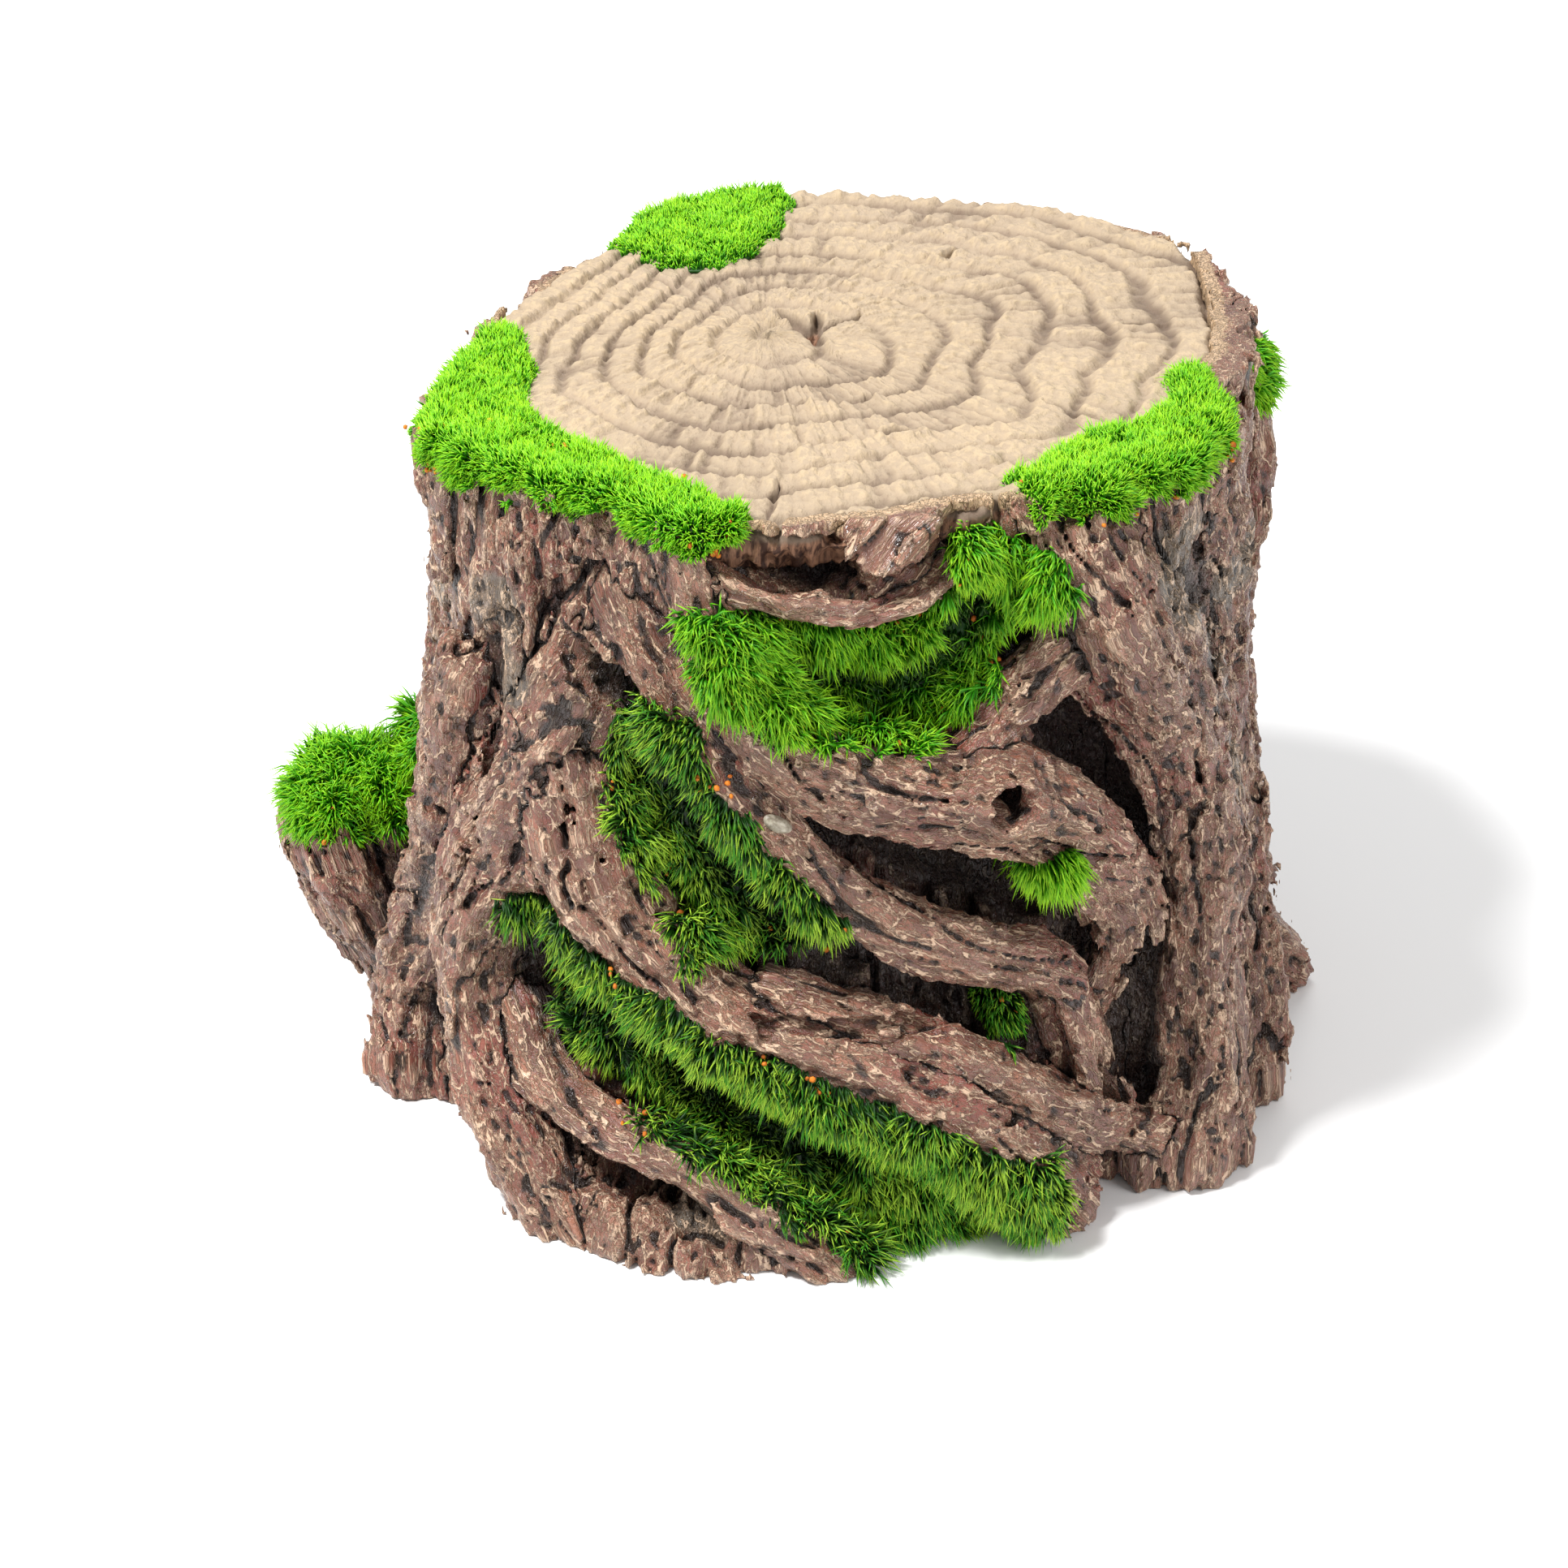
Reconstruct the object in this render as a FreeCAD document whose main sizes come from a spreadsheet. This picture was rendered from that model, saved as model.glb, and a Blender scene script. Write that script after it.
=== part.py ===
# Tree-stump cave ornament for an aquarium or terrarium, cast in resin with flocked moss.
# Millimetres, +Z up, ground at Z = 0. +X is the viewer's right and -Y the side with the
# crossing roots. The origin is the middle of the whole ornament's footprint, so the trunk's
# own axis stands a little to one side of it, at (axis_x, axis_y).
import FreeCAD
import Part
import Sketcher
import math
import os

os.makedirs("parts", exist_ok=True)
doc = FreeCAD.newDocument("stump_cave")
Vector = FreeCAD.Vector

# ---------------------------------------------------------------- driving dimensions

DIMENSIONS = {
    "axis_x": (3.2, "trunk axis from the origin, to the right"),
    "axis_y": (4.0, "trunk axis from the origin, to the back"),
    "stump_height": (100, "ground to the bark rim round the cut face"),
    "foot_height": (28, "top of the flared foot of the trunk"),
    "waist_height": (62, "narrowest place of the trunk"),
    "ground_radius": (57, "trunk at the ground, without its roots"),
    "foot_radius": (52, "trunk at the top of the foot"),
    "waist_radius": (49, "trunk at the waist"),
    "rim_radius": (51, "trunk at the bark rim"),
    "shell_wall": (6, "thickness of the cast wall"),
    "cave_height": (80, "ground to the roof of the cave"),
    "mouth_width": (42, "width of the cave mouth at the back"),
    "mouth_height": (46, "height of the cave mouth"),
    "face_radius": (47, "cut wood face inside the bark rim"),
    "face_thickness": (6, "depth of the cut wood face"),
    "ring_count": (8, "growth rings on the cut face"),
    "ring_relief": (1.2, "depth of the groove between two rings"),
    "pith_radius": (2.2, "hole at the middle of the rings"),
    "upper_root_radius": (7, "root that sweeps under the hanging moss"),
    "second_root_radius": (4.5, "root below it"),
    "third_root_radius": (6, "root over the big moss channel"),
    "strand_radius": (4, "strand that leaves the third root"),
    "lip_root_radius": (4.5, "root at the lower edge of the moss channel"),
    "left_outer_root_radius": (6.5, "left root with the knob on top"),
    "left_inner_root_radius": (7, "root beside it, to the front left foot"),
    "front_column_radius": (9, "thick root at the right of the front"),
    "side_column_radius": (8, "thick root on the right side"),
    "left_column_radius": (9, "bark column on the left side"),
    "right_column_radius": (8, "bark column on the far right side"),
    "shoulder_root_radius": (4.5, "short root at the right end of the moss swag"),
    "eye_ridge_radius": (3.2, "ridge below the eye hollow"),
    "arch_root_radius": (6, "root that arches over the cave mouth"),
    "back_left_root_radius": (7, "root at the back left"),
    "back_right_root_radius": (7, "root at the back right"),
    "toe_radius": (5.5, "root toe at the right"),
    "eye_knob_radius": (6.5, "burl inside the eye hollow"),
    "stub_foot_radius": (6, "branch stub at the ground"),
    "stub_top_radius": (11, "branch stub at its broken top"),
    "stub_height": (28, "height of the branch stub"),
    "stub_lean": (10, "outward lean of the branch stub, in degrees"),
    "knot_hole_radius": (2.6, "knot hole in the upper root"),
    "pile_height": (4, "moss pile on the cut face"),
    "swag_moss_radius": (6, "moss that hangs between the eye and the upper root"),
    "middle_moss_radius": (6.5, "moss in the hollow under the second root"),
    "channel_moss_radius": (7.5, "moss in the channel under the third root"),
    "tuft_radius": (3, "single tufts of moss"),
    "side_moss_radius": (5, "moss on the right side of the rim"),
    "pebble_length": (2.6, "pebble caught between two roots"),
    "pebble_width": (1.8, "its width"),
}

sheet = doc.addObject("Spreadsheet::Sheet", "Dimensions")
for row, (alias, (value, note)) in enumerate(DIMENSIONS.items(), start=1):
    sheet.set(f"A{row}", alias)
    sheet.set(f"B{row}", str(value))
    sheet.setAlias(f"B{row}", alias)
    sheet.set(f"C{row}", note)
doc.recompute()


def size(alias):
    """A driving dimension, read from the sheet."""
    return float(getattr(sheet, alias))


def bind(thing, **cells):
    """Bind properties of an object to expressions in the sheet's cells."""
    for prop, formula in cells.items():
        thing.setExpression(prop, formula)


def cell(alias):
    return f"Dimensions.{alias}"


# ---------------------------------------------------------------- places on the trunk

AXIS = Vector(size("axis_x"), size("axis_y"), 0)
UP = Vector(0, 0, 1)


def trunk_radius(height):
    """Radius of the bare trunk at a height: three straight frustums."""
    levels = [
        (0, size("ground_radius")),
        (size("foot_height"), size("foot_radius")),
        (size("waist_height"), size("waist_radius")),
        (size("stump_height"), size("rim_radius")),
    ]
    for (low, low_radius), (high, high_radius) in zip(levels, levels[1:]):
        if height <= high:
            share = (height - low) / (high - low)
            return low_radius + share * (high_radius - low_radius)
    return levels[-1][1]


def spot(angle, height, proud):
    """A point at an angle from +X, at a height, proud of the bare trunk's surface."""
    radius = trunk_radius(height) + proud
    turn = math.radians(angle)
    return AXIS + Vector(radius * math.cos(turn), radius * math.sin(turn), height)


# How much of the shorter run beside a corner its rounding arc takes.
CORNER_SHARE = 0.45


def corner_arc(before, corner, after):
    """The tangent arc that rounds a corner of a route."""
    arriving = (corner - before).normalize()
    leaving = (after - corner).normalize()
    reach = CORNER_SHARE * min((corner - before).Length, (after - corner).Length)
    half_turn = arriving.getAngle(leaving) / 2
    radius = reach / math.tan(half_turn)
    inward = (leaving - arriving).normalize()
    middle = corner + inward * (reach / math.sin(half_turn) - radius)
    return Part.Arc(corner - arriving * reach, middle, corner + leaving * reach).toShape()


def route(name, stations):
    """A smooth path over the trunk, through (angle, height, proud) stations."""
    points = [spot(*station) for station in stations]
    edges = []
    here = points[0]
    for before, corner, after in zip(points, points[1:], points[2:]):
        arc = corner_arc(before, corner, after)
        edges.append(Part.makeLine(here, arc.Vertexes[0].Point))
        edges.append(arc)
        here = arc.Vertexes[-1].Point
    edges.append(Part.makeLine(here, points[-1]))
    path = doc.addObject("Part::Feature", f"{name}_path")
    path.Shape = Part.Wire(edges)
    return path


def swept_rod(name, stations, radius_cell):
    """A round rod along a route; its radius is bound to the sheet."""
    path = route(name, stations)
    section = doc.addObject("Part::Circle", f"{name}_section")
    bind(section, Radius=cell(radius_cell))
    start = path.Shape.Edges[0]
    heading = start.tangentAt(start.FirstParameter)
    section.Placement = FreeCAD.Placement(
        spot(*stations[0]), FreeCAD.Rotation(UP, heading)
    )
    rod = doc.addObject("Part::Sweep", f"{name}_rod")
    rod.Sections = [section]
    rod.Spine = (path, [f"Edge{n + 1}" for n in range(len(path.Shape.Edges))])
    rod.Solid = True
    rod.Frenet = False
    rod.Transition = "Transformed"
    return rod


# ---------------------------------------------------------------- pieces that fit each other

pieces = []

# Cubic millimetres by which a cut may seem to add material.
SMALLEST_VOLUME = 0.5


def finish_piece(name, shape_object):
    """Name a finished sub-part, and keep it for the ones that lie against it."""
    shape_object.Label = name
    doc.recompute()
    pieces.append(shape_object)
    return shape_object


def lay_against(name, blank, others):
    """Cut a blank where it runs into the others, so that they meet face to face."""
    doc.recompute()
    for number, other in enumerate(others):
        if not blank.Shape.BoundBox.intersect(other.Shape.BoundBox):
            continue
        cut = doc.addObject("Part::Cut", f"{name}_fit_{number}")
        cut.Base = blank
        cut.Tool = other
        doc.recompute()
        if len(cut.Shape.Solids) != 1 or cut.Shape.Volume > blank.Shape.Volume + SMALLEST_VOLUME:
            raise RuntimeError(f"{name} could not be cut by {other.Label}")
        blank = cut
    return finish_piece(name, blank)


def frustum(name, low, high, low_radius, high_radius):
    """A frustum on the trunk's axis; every argument is a formula of the sheet."""
    cone = doc.addObject("Part::Cone", name)
    bind(cone, Radius1=low_radius, Radius2=high_radius, Height=f"{high} - {low}")
    bind(cone, **{
        "Placement.Base.x": cell("axis_x"),
        "Placement.Base.y": cell("axis_y"),
        "Placement.Base.z": low,
    })
    return cone


def fused(name, shapes):
    whole = doc.addObject("Part::MultiFuse", name)
    whole.Shapes = shapes
    whole.Refine = True
    return whole


# ---------------------------------------------------------------- trunk shell


def make_solid_trunk():
    """The trunk without its cave: what roots and moss are laid against."""
    ground, foot = "0", cell("foot_height")
    waist, rim = cell("waist_height"), cell("stump_height")
    return fused("solid_trunk", [
        frustum("trunk_foot", ground, foot, cell("ground_radius"), cell("foot_radius")),
        frustum("trunk_waist", foot, waist, cell("foot_radius"), cell("waist_radius")),
        frustum("trunk_neck", waist, rim, cell("waist_radius"), cell("rim_radius")),
    ])


def make_cave():
    """The room inside, open at the ground, and its arched mouth at the back."""
    wall = cell("shell_wall")
    room = frustum(
        "cave_room", "0", cell("cave_height"),
        f"{cell('ground_radius')} - {wall}", f"{cell('waist_radius')} - 2 * {wall}",
    )
    doorway = doc.addObject("Part::Box", "mouth_doorway")
    bind(doorway, **{
        "Length": cell("mouth_width"),
        "Width": f"1.5 * {cell('ground_radius')}",
        "Height": f"{cell('mouth_height')} - {cell('mouth_width')} / 2",
        "Placement.Base.x": f"{cell('axis_x')} - {cell('mouth_width')} / 2",
        "Placement.Base.y": cell("axis_y"),
    })
    arch = doc.addObject("Part::Cylinder", "mouth_arch")
    arch.Placement.Rotation = FreeCAD.Rotation(Vector(1, 0, 0), -90)
    bind(arch, **{
        "Radius": f"{cell('mouth_width')} / 2",
        "Height": f"1.5 * {cell('ground_radius')}",
        "Placement.Base.x": cell("axis_x"),
        "Placement.Base.y": cell("axis_y"),
        "Placement.Base.z": f"{cell('mouth_height')} - {cell('mouth_width')} / 2",
    })
    return fused("cave", [room, doorway, arch])


def make_trunk_shell(solid_trunk, cave):
    recess = frustum(
        "face_recess", f"({cell('stump_height')} - {cell('face_thickness')})",
        f"({cell('stump_height')} + 1)", cell("face_radius"), cell("face_radius"),
    )
    hollowed = doc.addObject("Part::Cut", "hollowed_trunk")
    hollowed.Base = solid_trunk
    hollowed.Tool = cave
    shell = doc.addObject("Part::Cut", "recessed_trunk")
    shell.Base = hollowed
    shell.Tool = recess
    return finish_piece("trunk_shell", shell)


# ---------------------------------------------------------------- cut wood face


def body_sketch(body, name, plane_role):
    """A sketch on one of the body's own origin planes."""
    plane = next(f for f in body.Origin.OriginFeatures if f.Role == plane_role)
    sketch = body.newObject("Sketcher::SketchObject", name)
    sketch.AttachmentSupport = (plane, "")
    sketch.MapMode = "FlatFace"
    return sketch


def make_cut_wood_face():
    """A disc whose top carries concentric growth rings, with a pith hole in the middle."""
    body = doc.addObject("PartDesign::Body", "cut_wood_face_body")
    sketch = body_sketch(body, "ring_profile", "XZ_Plane")
    rings = int(size("ring_count"))
    thickness = size("face_thickness")
    relief = size("ring_relief")
    pith = size("pith_radius")
    ring_width = (size("face_radius") - pith) / rings
    width_formula = f"({cell('face_radius')} - {cell('pith_radius')}) / {cell('ring_count')}"
    corners = [(pith, 0, cell("pith_radius"), None)]
    for ring in range(rings):
        start = pith + ring * ring_width
        start_formula = f"{cell('pith_radius')} + {ring} * {width_formula}"
        valley = thickness - relief
        valley_formula = f"{cell('face_thickness')} - {cell('ring_relief')}"
        crest = start + 0.35 * ring_width
        crest_formula = f"{cell('pith_radius')} + {ring + 0.35} * {width_formula}"
        corners.append((start, valley, start_formula, valley_formula))
        corners.append((crest, thickness, crest_formula, cell("face_thickness")))
    corners.append((size("face_radius"), thickness, cell("face_radius"), cell("face_thickness")))
    corners.append((size("face_radius"), 0, cell("face_radius"), None))
    points = [Vector(across, up, 0) for across, up, _, _ in corners]
    for start, end in zip(points, points[1:] + points[:1]):
        sketch.addGeometry(Part.LineSegment(start, end), False)
    count = len(points)
    for line in range(count):
        sketch.addConstraint(Sketcher.Constraint("Coincident", line, 2, (line + 1) % count, 1))
    for line, (across, up, across_formula, up_formula) in enumerate(corners):
        held = sketch.addConstraint(Sketcher.Constraint("DistanceX", -1, 1, line, 1, across))
        sketch.setExpression(f"Constraints[{held}]", across_formula)
        if up_formula is None:
            sketch.addConstraint(Sketcher.Constraint("PointOnObject", line, 1, -1))
            continue
        held = sketch.addConstraint(Sketcher.Constraint("DistanceY", -1, 1, line, 1, up))
        sketch.setExpression(f"Constraints[{held}]", up_formula)
    disc = body.newObject("PartDesign::Revolution", "ring_disc")
    disc.Profile = sketch
    disc.ReferenceAxis = (sketch, ["V_Axis"])
    disc.Angle = 360
    bind(body, **{
        "Placement.Base.x": cell("axis_x"),
        "Placement.Base.y": cell("axis_y"),
        "Placement.Base.z": f"{cell('stump_height')} - {cell('face_thickness')}",
    })
    return finish_piece("cut_wood_face", body)


# ---------------------------------------------------------------- roots

# Each root: its radius cell, and its stations (angle, height, proud) from top to foot.
# Heights beyond the ground or the rim run into the two slabs that trim every root.
ROOTS = {
    "front_column_root": ("front_column_radius", [
        (-58, 106, -4), (-55, 92, -2), (-50, 80, 0), (-42, 67, 1), (-35, 54, 1),
        (-34, 40, 1), (-36, 27, 1), (-36, 13, 1), (-38, -6, 1),
    ]),
    "side_column_root": ("side_column_radius", [
        (-34, 106, -4), (-27, 86, -1), (-18, 68, 0), (-14, 50, 1), (-13, 32, 0),
        (-16, 14, 0), (-22, -6, 1),
    ]),
    "upper_root": ("upper_root_radius", [
        (-110, 107, -4), (-106, 92, -1), (-102, 78, 2), (-93, 69, 4), (-80, 64, 4),
        (-67, 60, 4), (-56, 52, 3), (-50, 40, 2), (-50, 26, -3),
    ]),
    "second_root": ("second_root_radius", [
        (-120, 88, -2), (-112, 76, 1), (-104, 66, 3), (-96, 57, 3), (-88, 49, 3),
        (-79, 43, 3), (-69, 39, 3), (-60, 34, 3), (-56, 25, 2), (-55, 14, 0),
    ]),
    "third_root": ("third_root_radius", [
        (-131, 70, -4), (-126, 57, 1), (-120, 47, 3), (-113, 39, 3), (-104, 33, 3),
        (-94, 28, 3), (-83, 22, 3), (-72, 15, 2), (-62, 5, 2), (-57, -6, 1),
    ]),
    "third_root_strand": ("strand_radius", [
        (-92, 36, 1), (-82, 32, 3), (-72, 26, 3), (-62, 18, 3), (-54, 9, 3), (-48, -3, 3),
    ]),
    "left_inner_root": ("left_inner_root_radius", [
        (-124, 84, -4), (-129, 68, 0), (-135, 54, 2), (-141, 40, 3), (-142, 27, 2),
        (-138, 15, 2), (-131, 4, 4), (-126, -7, 5),
    ]),
    "left_outer_root": ("left_outer_root_radius", [
        (-142, 70, 0), (-146, 56, 2), (-151, 42, 3), (-158, 28, 2), (-163, 14, 3),
        (-160, 1, 3), (-157, -8, 2),
    ]),
    "lip_root": ("lip_root_radius", [
        (-136, 26, 3), (-128, 19, 3), (-118, 15, 3), (-108, 11, 3), (-98, 5, 3.5),
        (-89, -4, 3.5),
    ]),
    "shoulder_root": ("shoulder_root_radius", [
        (-56, 90, -2), (-60, 82, 1), (-66, 76, 2), (-74, 72, 1),
    ]),
    "eye_ridge": ("eye_ridge_radius", [
        (-106, 97, 0), (-101, 91, 1), (-93, 88, 2), (-84, 88, 2), (-78, 92, 1),
    ]),
    "left_column_root": ("left_column_radius", [
        (172, 106, -6), (173, 88, -4), (176, 70, -4), (178, 50, -5), (175, 30, -4),
        (170, 12, -2), (167, -6, -1),
    ]),
    "right_column_root": ("right_column_radius", [
        (10, 106, -6), (8, 90, -2), (4, 76, 0), (6, 60, -1), (8, 42, 0), (8, 24, 0),
        (12, 8, 1), (14, -6, 2),
    ]),
    "back_left_root": ("back_left_root_radius", [
        (150, 106, -6), (146, 88, -3), (148, 70, -2), (144, 50, -2), (147, 30, -1),
        (143, 12, 1), (141, -6, 3),
    ]),
    "back_right_root": ("back_right_root_radius", [
        (42, 106, -4), (38, 88, -2), (34, 70, -1), (38, 50, -1), (35, 30, 0),
        (38, 12, 1), (36, -6, 3),
    ]),
    "arch_root": ("arch_root_radius", [
        (57, -6, 3), (60, 12, 2), (61, 30, 2), (68, 46, 2), (80, 56, 2), (94, 58, 2),
        (107, 52, 2), (117, 38, 2), (120, 20, 2), (122, 4, 3), (123, -6, 3),
    ]),
    "right_toe": ("toe_radius", [
        (-4, 20, -5), (0, 10, 0), (2, 3, 5), (3, -5, 7),
    ]),
}


def make_trimming_slabs():
    """Everything below the ground and above the bark rim, which no root enters."""
    slabs = []
    reach = f"3 * {cell('ground_radius')}"
    for name, low in (("ground", f"-{cell('stump_height')}"), ("sky", cell("stump_height"))):
        slab = doc.addObject("Part::Box", name)
        bind(slab, **{
            "Length": reach,
            "Width": reach,
            "Height": cell("stump_height"),
            "Placement.Base.x": f"-{reach} / 2",
            "Placement.Base.y": f"-{reach} / 2",
            "Placement.Base.z": low,
        })
        slabs.append(slab)
    return slabs


def make_knot_hole():
    """A round pit in the upper root, pointing at the trunk's axis."""
    pit = doc.addObject("Part::Cylinder", "knot_hole")
    bind(pit, Radius=cell("knot_hole_radius"), Height=f"2 * {cell('knot_hole_radius')}")
    mouth = spot(-71, 64, 10)
    pit.Placement = FreeCAD.Placement(
        mouth, FreeCAD.Rotation(UP, AXIS + UP * mouth.z - mouth)
    )
    return pit


def make_roots(core):
    for name, (radius_cell, stations) in ROOTS.items():
        rod = swept_rod(name, stations, radius_cell)
        hollows = [make_knot_hole()] if name == "upper_root" else []
        lay_against(name, rod, core + hollows + pieces[1:])


def make_eye_knob(core):
    """A burl that bulges into the eye hollow under the rim."""
    knob = doc.addObject("Part::Ellipsoid", "eye_knob_burl")
    bind(
        knob, Radius1=cell("eye_knob_radius"), Radius2=f"1.5 * {cell('eye_knob_radius')}",
        Radius3=cell("eye_knob_radius"),
    )
    knob.Placement.Base = spot(-84, 94, 0)
    lay_against("eye_knob", knob, core + pieces[1:])


def make_branch_stub(core):
    """A broken branch at the left, wider at its top, leaning outward."""
    stub = doc.addObject("Part::Cone", "branch_stub_cone")
    bind(
        stub, Radius1=cell("stub_foot_radius"), Radius2=cell("stub_top_radius"),
        Height=cell("stub_height"),
    )
    stub.Placement = FreeCAD.Placement(
        spot(-177, 0, 0), FreeCAD.Rotation(Vector(0, 1, 0), -size("stub_lean"))
    )
    lay_against("branch_stub", stub, core + pieces[1:])


# ---------------------------------------------------------------- moss

# Moss strips on the front: radius cell and stations, as for the roots.
MOSS_STRIPS = {
    "moss_swag": ("swag_moss_radius", [
        (-100, 80, 2), (-94, 76, 3), (-87, 74, 3), (-80, 75, 3), (-74, 79, 2),
    ]),
    "moss_middle": ("middle_moss_radius", [
        (-115, 66, 0), (-110, 58, 1), (-103, 49, 1), (-95, 42, 1),
    ]),
    "moss_channel": ("channel_moss_radius", [
        (-133, 36, 0), (-126, 29, 1), (-116, 24, 1), (-104, 19, 2), (-92, 13, 2),
        (-80, 7, 3), (-70, 3, 2),
    ]),
}

# Moss pads on the cut face: first angle, sweep, inner radius and outer radius, as shares
# of the bark rim's radius.
TOP_MOSS = {
    "moss_top_left": (168, 92, 0.78, 1.06),
    "moss_top_back": (103, 26, 0.72, 1.0),
    "moss_top_right": (-62, 40, 0.82, 1.05),
}


def make_moss_strips(core):
    for name, (radius_cell, stations) in MOSS_STRIPS.items():
        rod = swept_rod(name, stations, radius_cell)
        lay_against(name, rod, core + pieces[1:])


def make_top_moss():
    for name, (start, sweep, inner_share, outer_share) in TOP_MOSS.items():
        wedges = []
        for side, share in (("outer", outer_share), ("inner", inner_share)):
            wedge = doc.addObject("Part::Cylinder", f"{name}_{side}")
            wedge.Placement = FreeCAD.Placement(AXIS, FreeCAD.Rotation(UP, start))
            wedge.Angle = sweep if side == "outer" else 360
            bind(wedge, **{
                "Radius": f"{share} * {cell('rim_radius')}",
                "Height": cell("pile_height"),
                "Placement.Base.z": cell("stump_height"),
            })
            wedges.append(wedge)
        pad = doc.addObject("Part::Cut", f"{name}_pad")
        pad.Base, pad.Tool = wedges
        lay_against(name, pad, pieces)


def make_tuft(name, core, station, radius_cell):
    tuft = doc.addObject("Part::Sphere", f"{name}_ball")
    bind(tuft, Radius=cell(radius_cell))
    tuft.Placement.Base = spot(*station)
    lay_against(name, tuft, core + pieces[1:])


def make_stub_moss(core):
    """A dome of moss on the broken top of the branch stub."""
    dome = doc.addObject("Part::Ellipsoid", "moss_stub_dome")
    bind(
        dome, Radius1=cell("stub_top_radius"),
        Radius2=f"1.2 * {cell('stub_top_radius')}", Radius3=cell("stub_top_radius"),
    )
    lean = math.radians(size("stub_lean"))
    along = Vector(-math.sin(lean), 0, math.cos(lean))
    dome.Placement.Base = spot(-177, 0, 0) + along * (size("stub_height") + 1)
    lay_against("moss_stub_cap", dome, core + pieces[1:])


def make_pebble(core):
    pebble = doc.addObject("Part::Ellipsoid", "pebble_stone")
    bind(
        pebble, Radius1=f"{cell('pebble_width')} / 2", Radius2=f"{cell('pebble_length')} / 2",
        Radius3=f"{cell('pebble_width')} / 2",
    )
    pebble.Placement.Base = spot(-97, 62, 7.4)
    lay_against("crevice_pebble", pebble, core + pieces[1:])


# ---------------------------------------------------------------- assembly


def check_document():
    """Stop if any object of the document failed to compute."""
    failed = [o.Label for o in doc.Objects if {"Invalid", "Error"} & set(o.State)]
    if failed:
        raise RuntimeError(f"failed objects: {failed}")


def write_pieces():
    """Check every sub-part and write it to its own file."""
    for piece in pieces:
        shape = piece.Shape
        if shape.isNull() or not shape.isValid() or not shape.Solids:
            raise RuntimeError(f"bad shape: {piece.Label}")
        shape.exportStep(f"parts/{piece.Label}.step")
        print(piece.Label, len(shape.Solids), "solids", round(shape.Volume), "mm3")


def build():
    solid_trunk = make_solid_trunk()
    cave = make_cave()
    make_trunk_shell(solid_trunk, cave)
    core = [solid_trunk, *make_trimming_slabs()]
    make_roots(core)
    make_eye_knob(core)
    make_branch_stub(core)
    make_pebble(core)
    make_moss_strips(core)
    make_stub_moss(core)
    make_tuft("moss_tuft_upper", core, (-62, 54, 9), "tuft_radius")
    make_tuft("moss_tuft_lower", core, (-66, 30, 2), "tuft_radius")
    make_tuft("moss_right_side", core, (4, 94, 4), "side_moss_radius")
    make_cut_wood_face()
    make_top_moss()
    doc.recompute()
    check_document()
    write_pieces()
    print("whole", Part.makeCompound([p.Shape for p in pieces]).optimalBoundingBox(True, False))


build()
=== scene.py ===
import math
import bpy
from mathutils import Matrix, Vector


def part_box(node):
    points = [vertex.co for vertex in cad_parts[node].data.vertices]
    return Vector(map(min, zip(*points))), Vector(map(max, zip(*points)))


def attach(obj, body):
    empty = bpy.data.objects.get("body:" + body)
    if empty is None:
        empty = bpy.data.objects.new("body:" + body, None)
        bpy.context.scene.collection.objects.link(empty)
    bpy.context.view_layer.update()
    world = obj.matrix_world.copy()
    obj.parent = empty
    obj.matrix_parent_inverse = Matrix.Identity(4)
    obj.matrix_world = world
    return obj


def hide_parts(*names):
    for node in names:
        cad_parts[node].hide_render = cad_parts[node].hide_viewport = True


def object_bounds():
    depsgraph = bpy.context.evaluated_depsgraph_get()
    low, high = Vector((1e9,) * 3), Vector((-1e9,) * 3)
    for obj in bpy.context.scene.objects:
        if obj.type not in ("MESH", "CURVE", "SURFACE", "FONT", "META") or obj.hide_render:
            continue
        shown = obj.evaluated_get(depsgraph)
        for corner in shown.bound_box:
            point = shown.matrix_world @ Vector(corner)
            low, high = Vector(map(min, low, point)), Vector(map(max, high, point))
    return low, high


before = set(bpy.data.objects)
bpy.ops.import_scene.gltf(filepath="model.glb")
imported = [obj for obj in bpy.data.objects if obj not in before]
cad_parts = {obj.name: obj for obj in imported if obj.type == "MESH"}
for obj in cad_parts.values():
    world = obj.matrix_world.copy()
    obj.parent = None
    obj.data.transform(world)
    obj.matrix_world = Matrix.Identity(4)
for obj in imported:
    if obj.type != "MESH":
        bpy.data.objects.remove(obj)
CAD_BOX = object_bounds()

from concurrent.futures import ThreadPoolExecutor
from types import SimpleNamespace

import bmesh
import bpy
import numpy as np
import openvdb
from mathutils import Vector

# Lengths are in millimetres until a mesh is made, angles in degrees about the trunk's axis.
# Angle 0 is the right side, -90 the front with the crossing roots, 90 the back.
MM = 0.001
VOXEL = 0.45
MARGIN = 3.0

FACE_LOW, FACE_HIGH = (np.array(corner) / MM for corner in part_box("cut_wood_face"))
AXIS = (FACE_LOW[:2] + FACE_HIGH[:2]) / 2
TOP = FACE_HIGH[2]

POOL = ThreadPoolExecutor(4)


def in_parts(function, points):
    """Run a function over many points, in parallel parts."""
    return np.concatenate(list(POOL.map(function, np.array_split(points, 8))))


# ---------------------------------------------------------------- noise

CORNERS = [(i, j, k) for i in (0, 1) for j in (0, 1) for k in (0, 1)]
DIRECTIONS = np.random.default_rng(11).normal(size=(256, 3)).astype(np.float32)
DIRECTIONS /= np.linalg.norm(DIRECTIONS, axis=1)[:, None]
SHUFFLE = np.random.default_rng(12).permutation(256).astype(np.int32)


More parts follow.
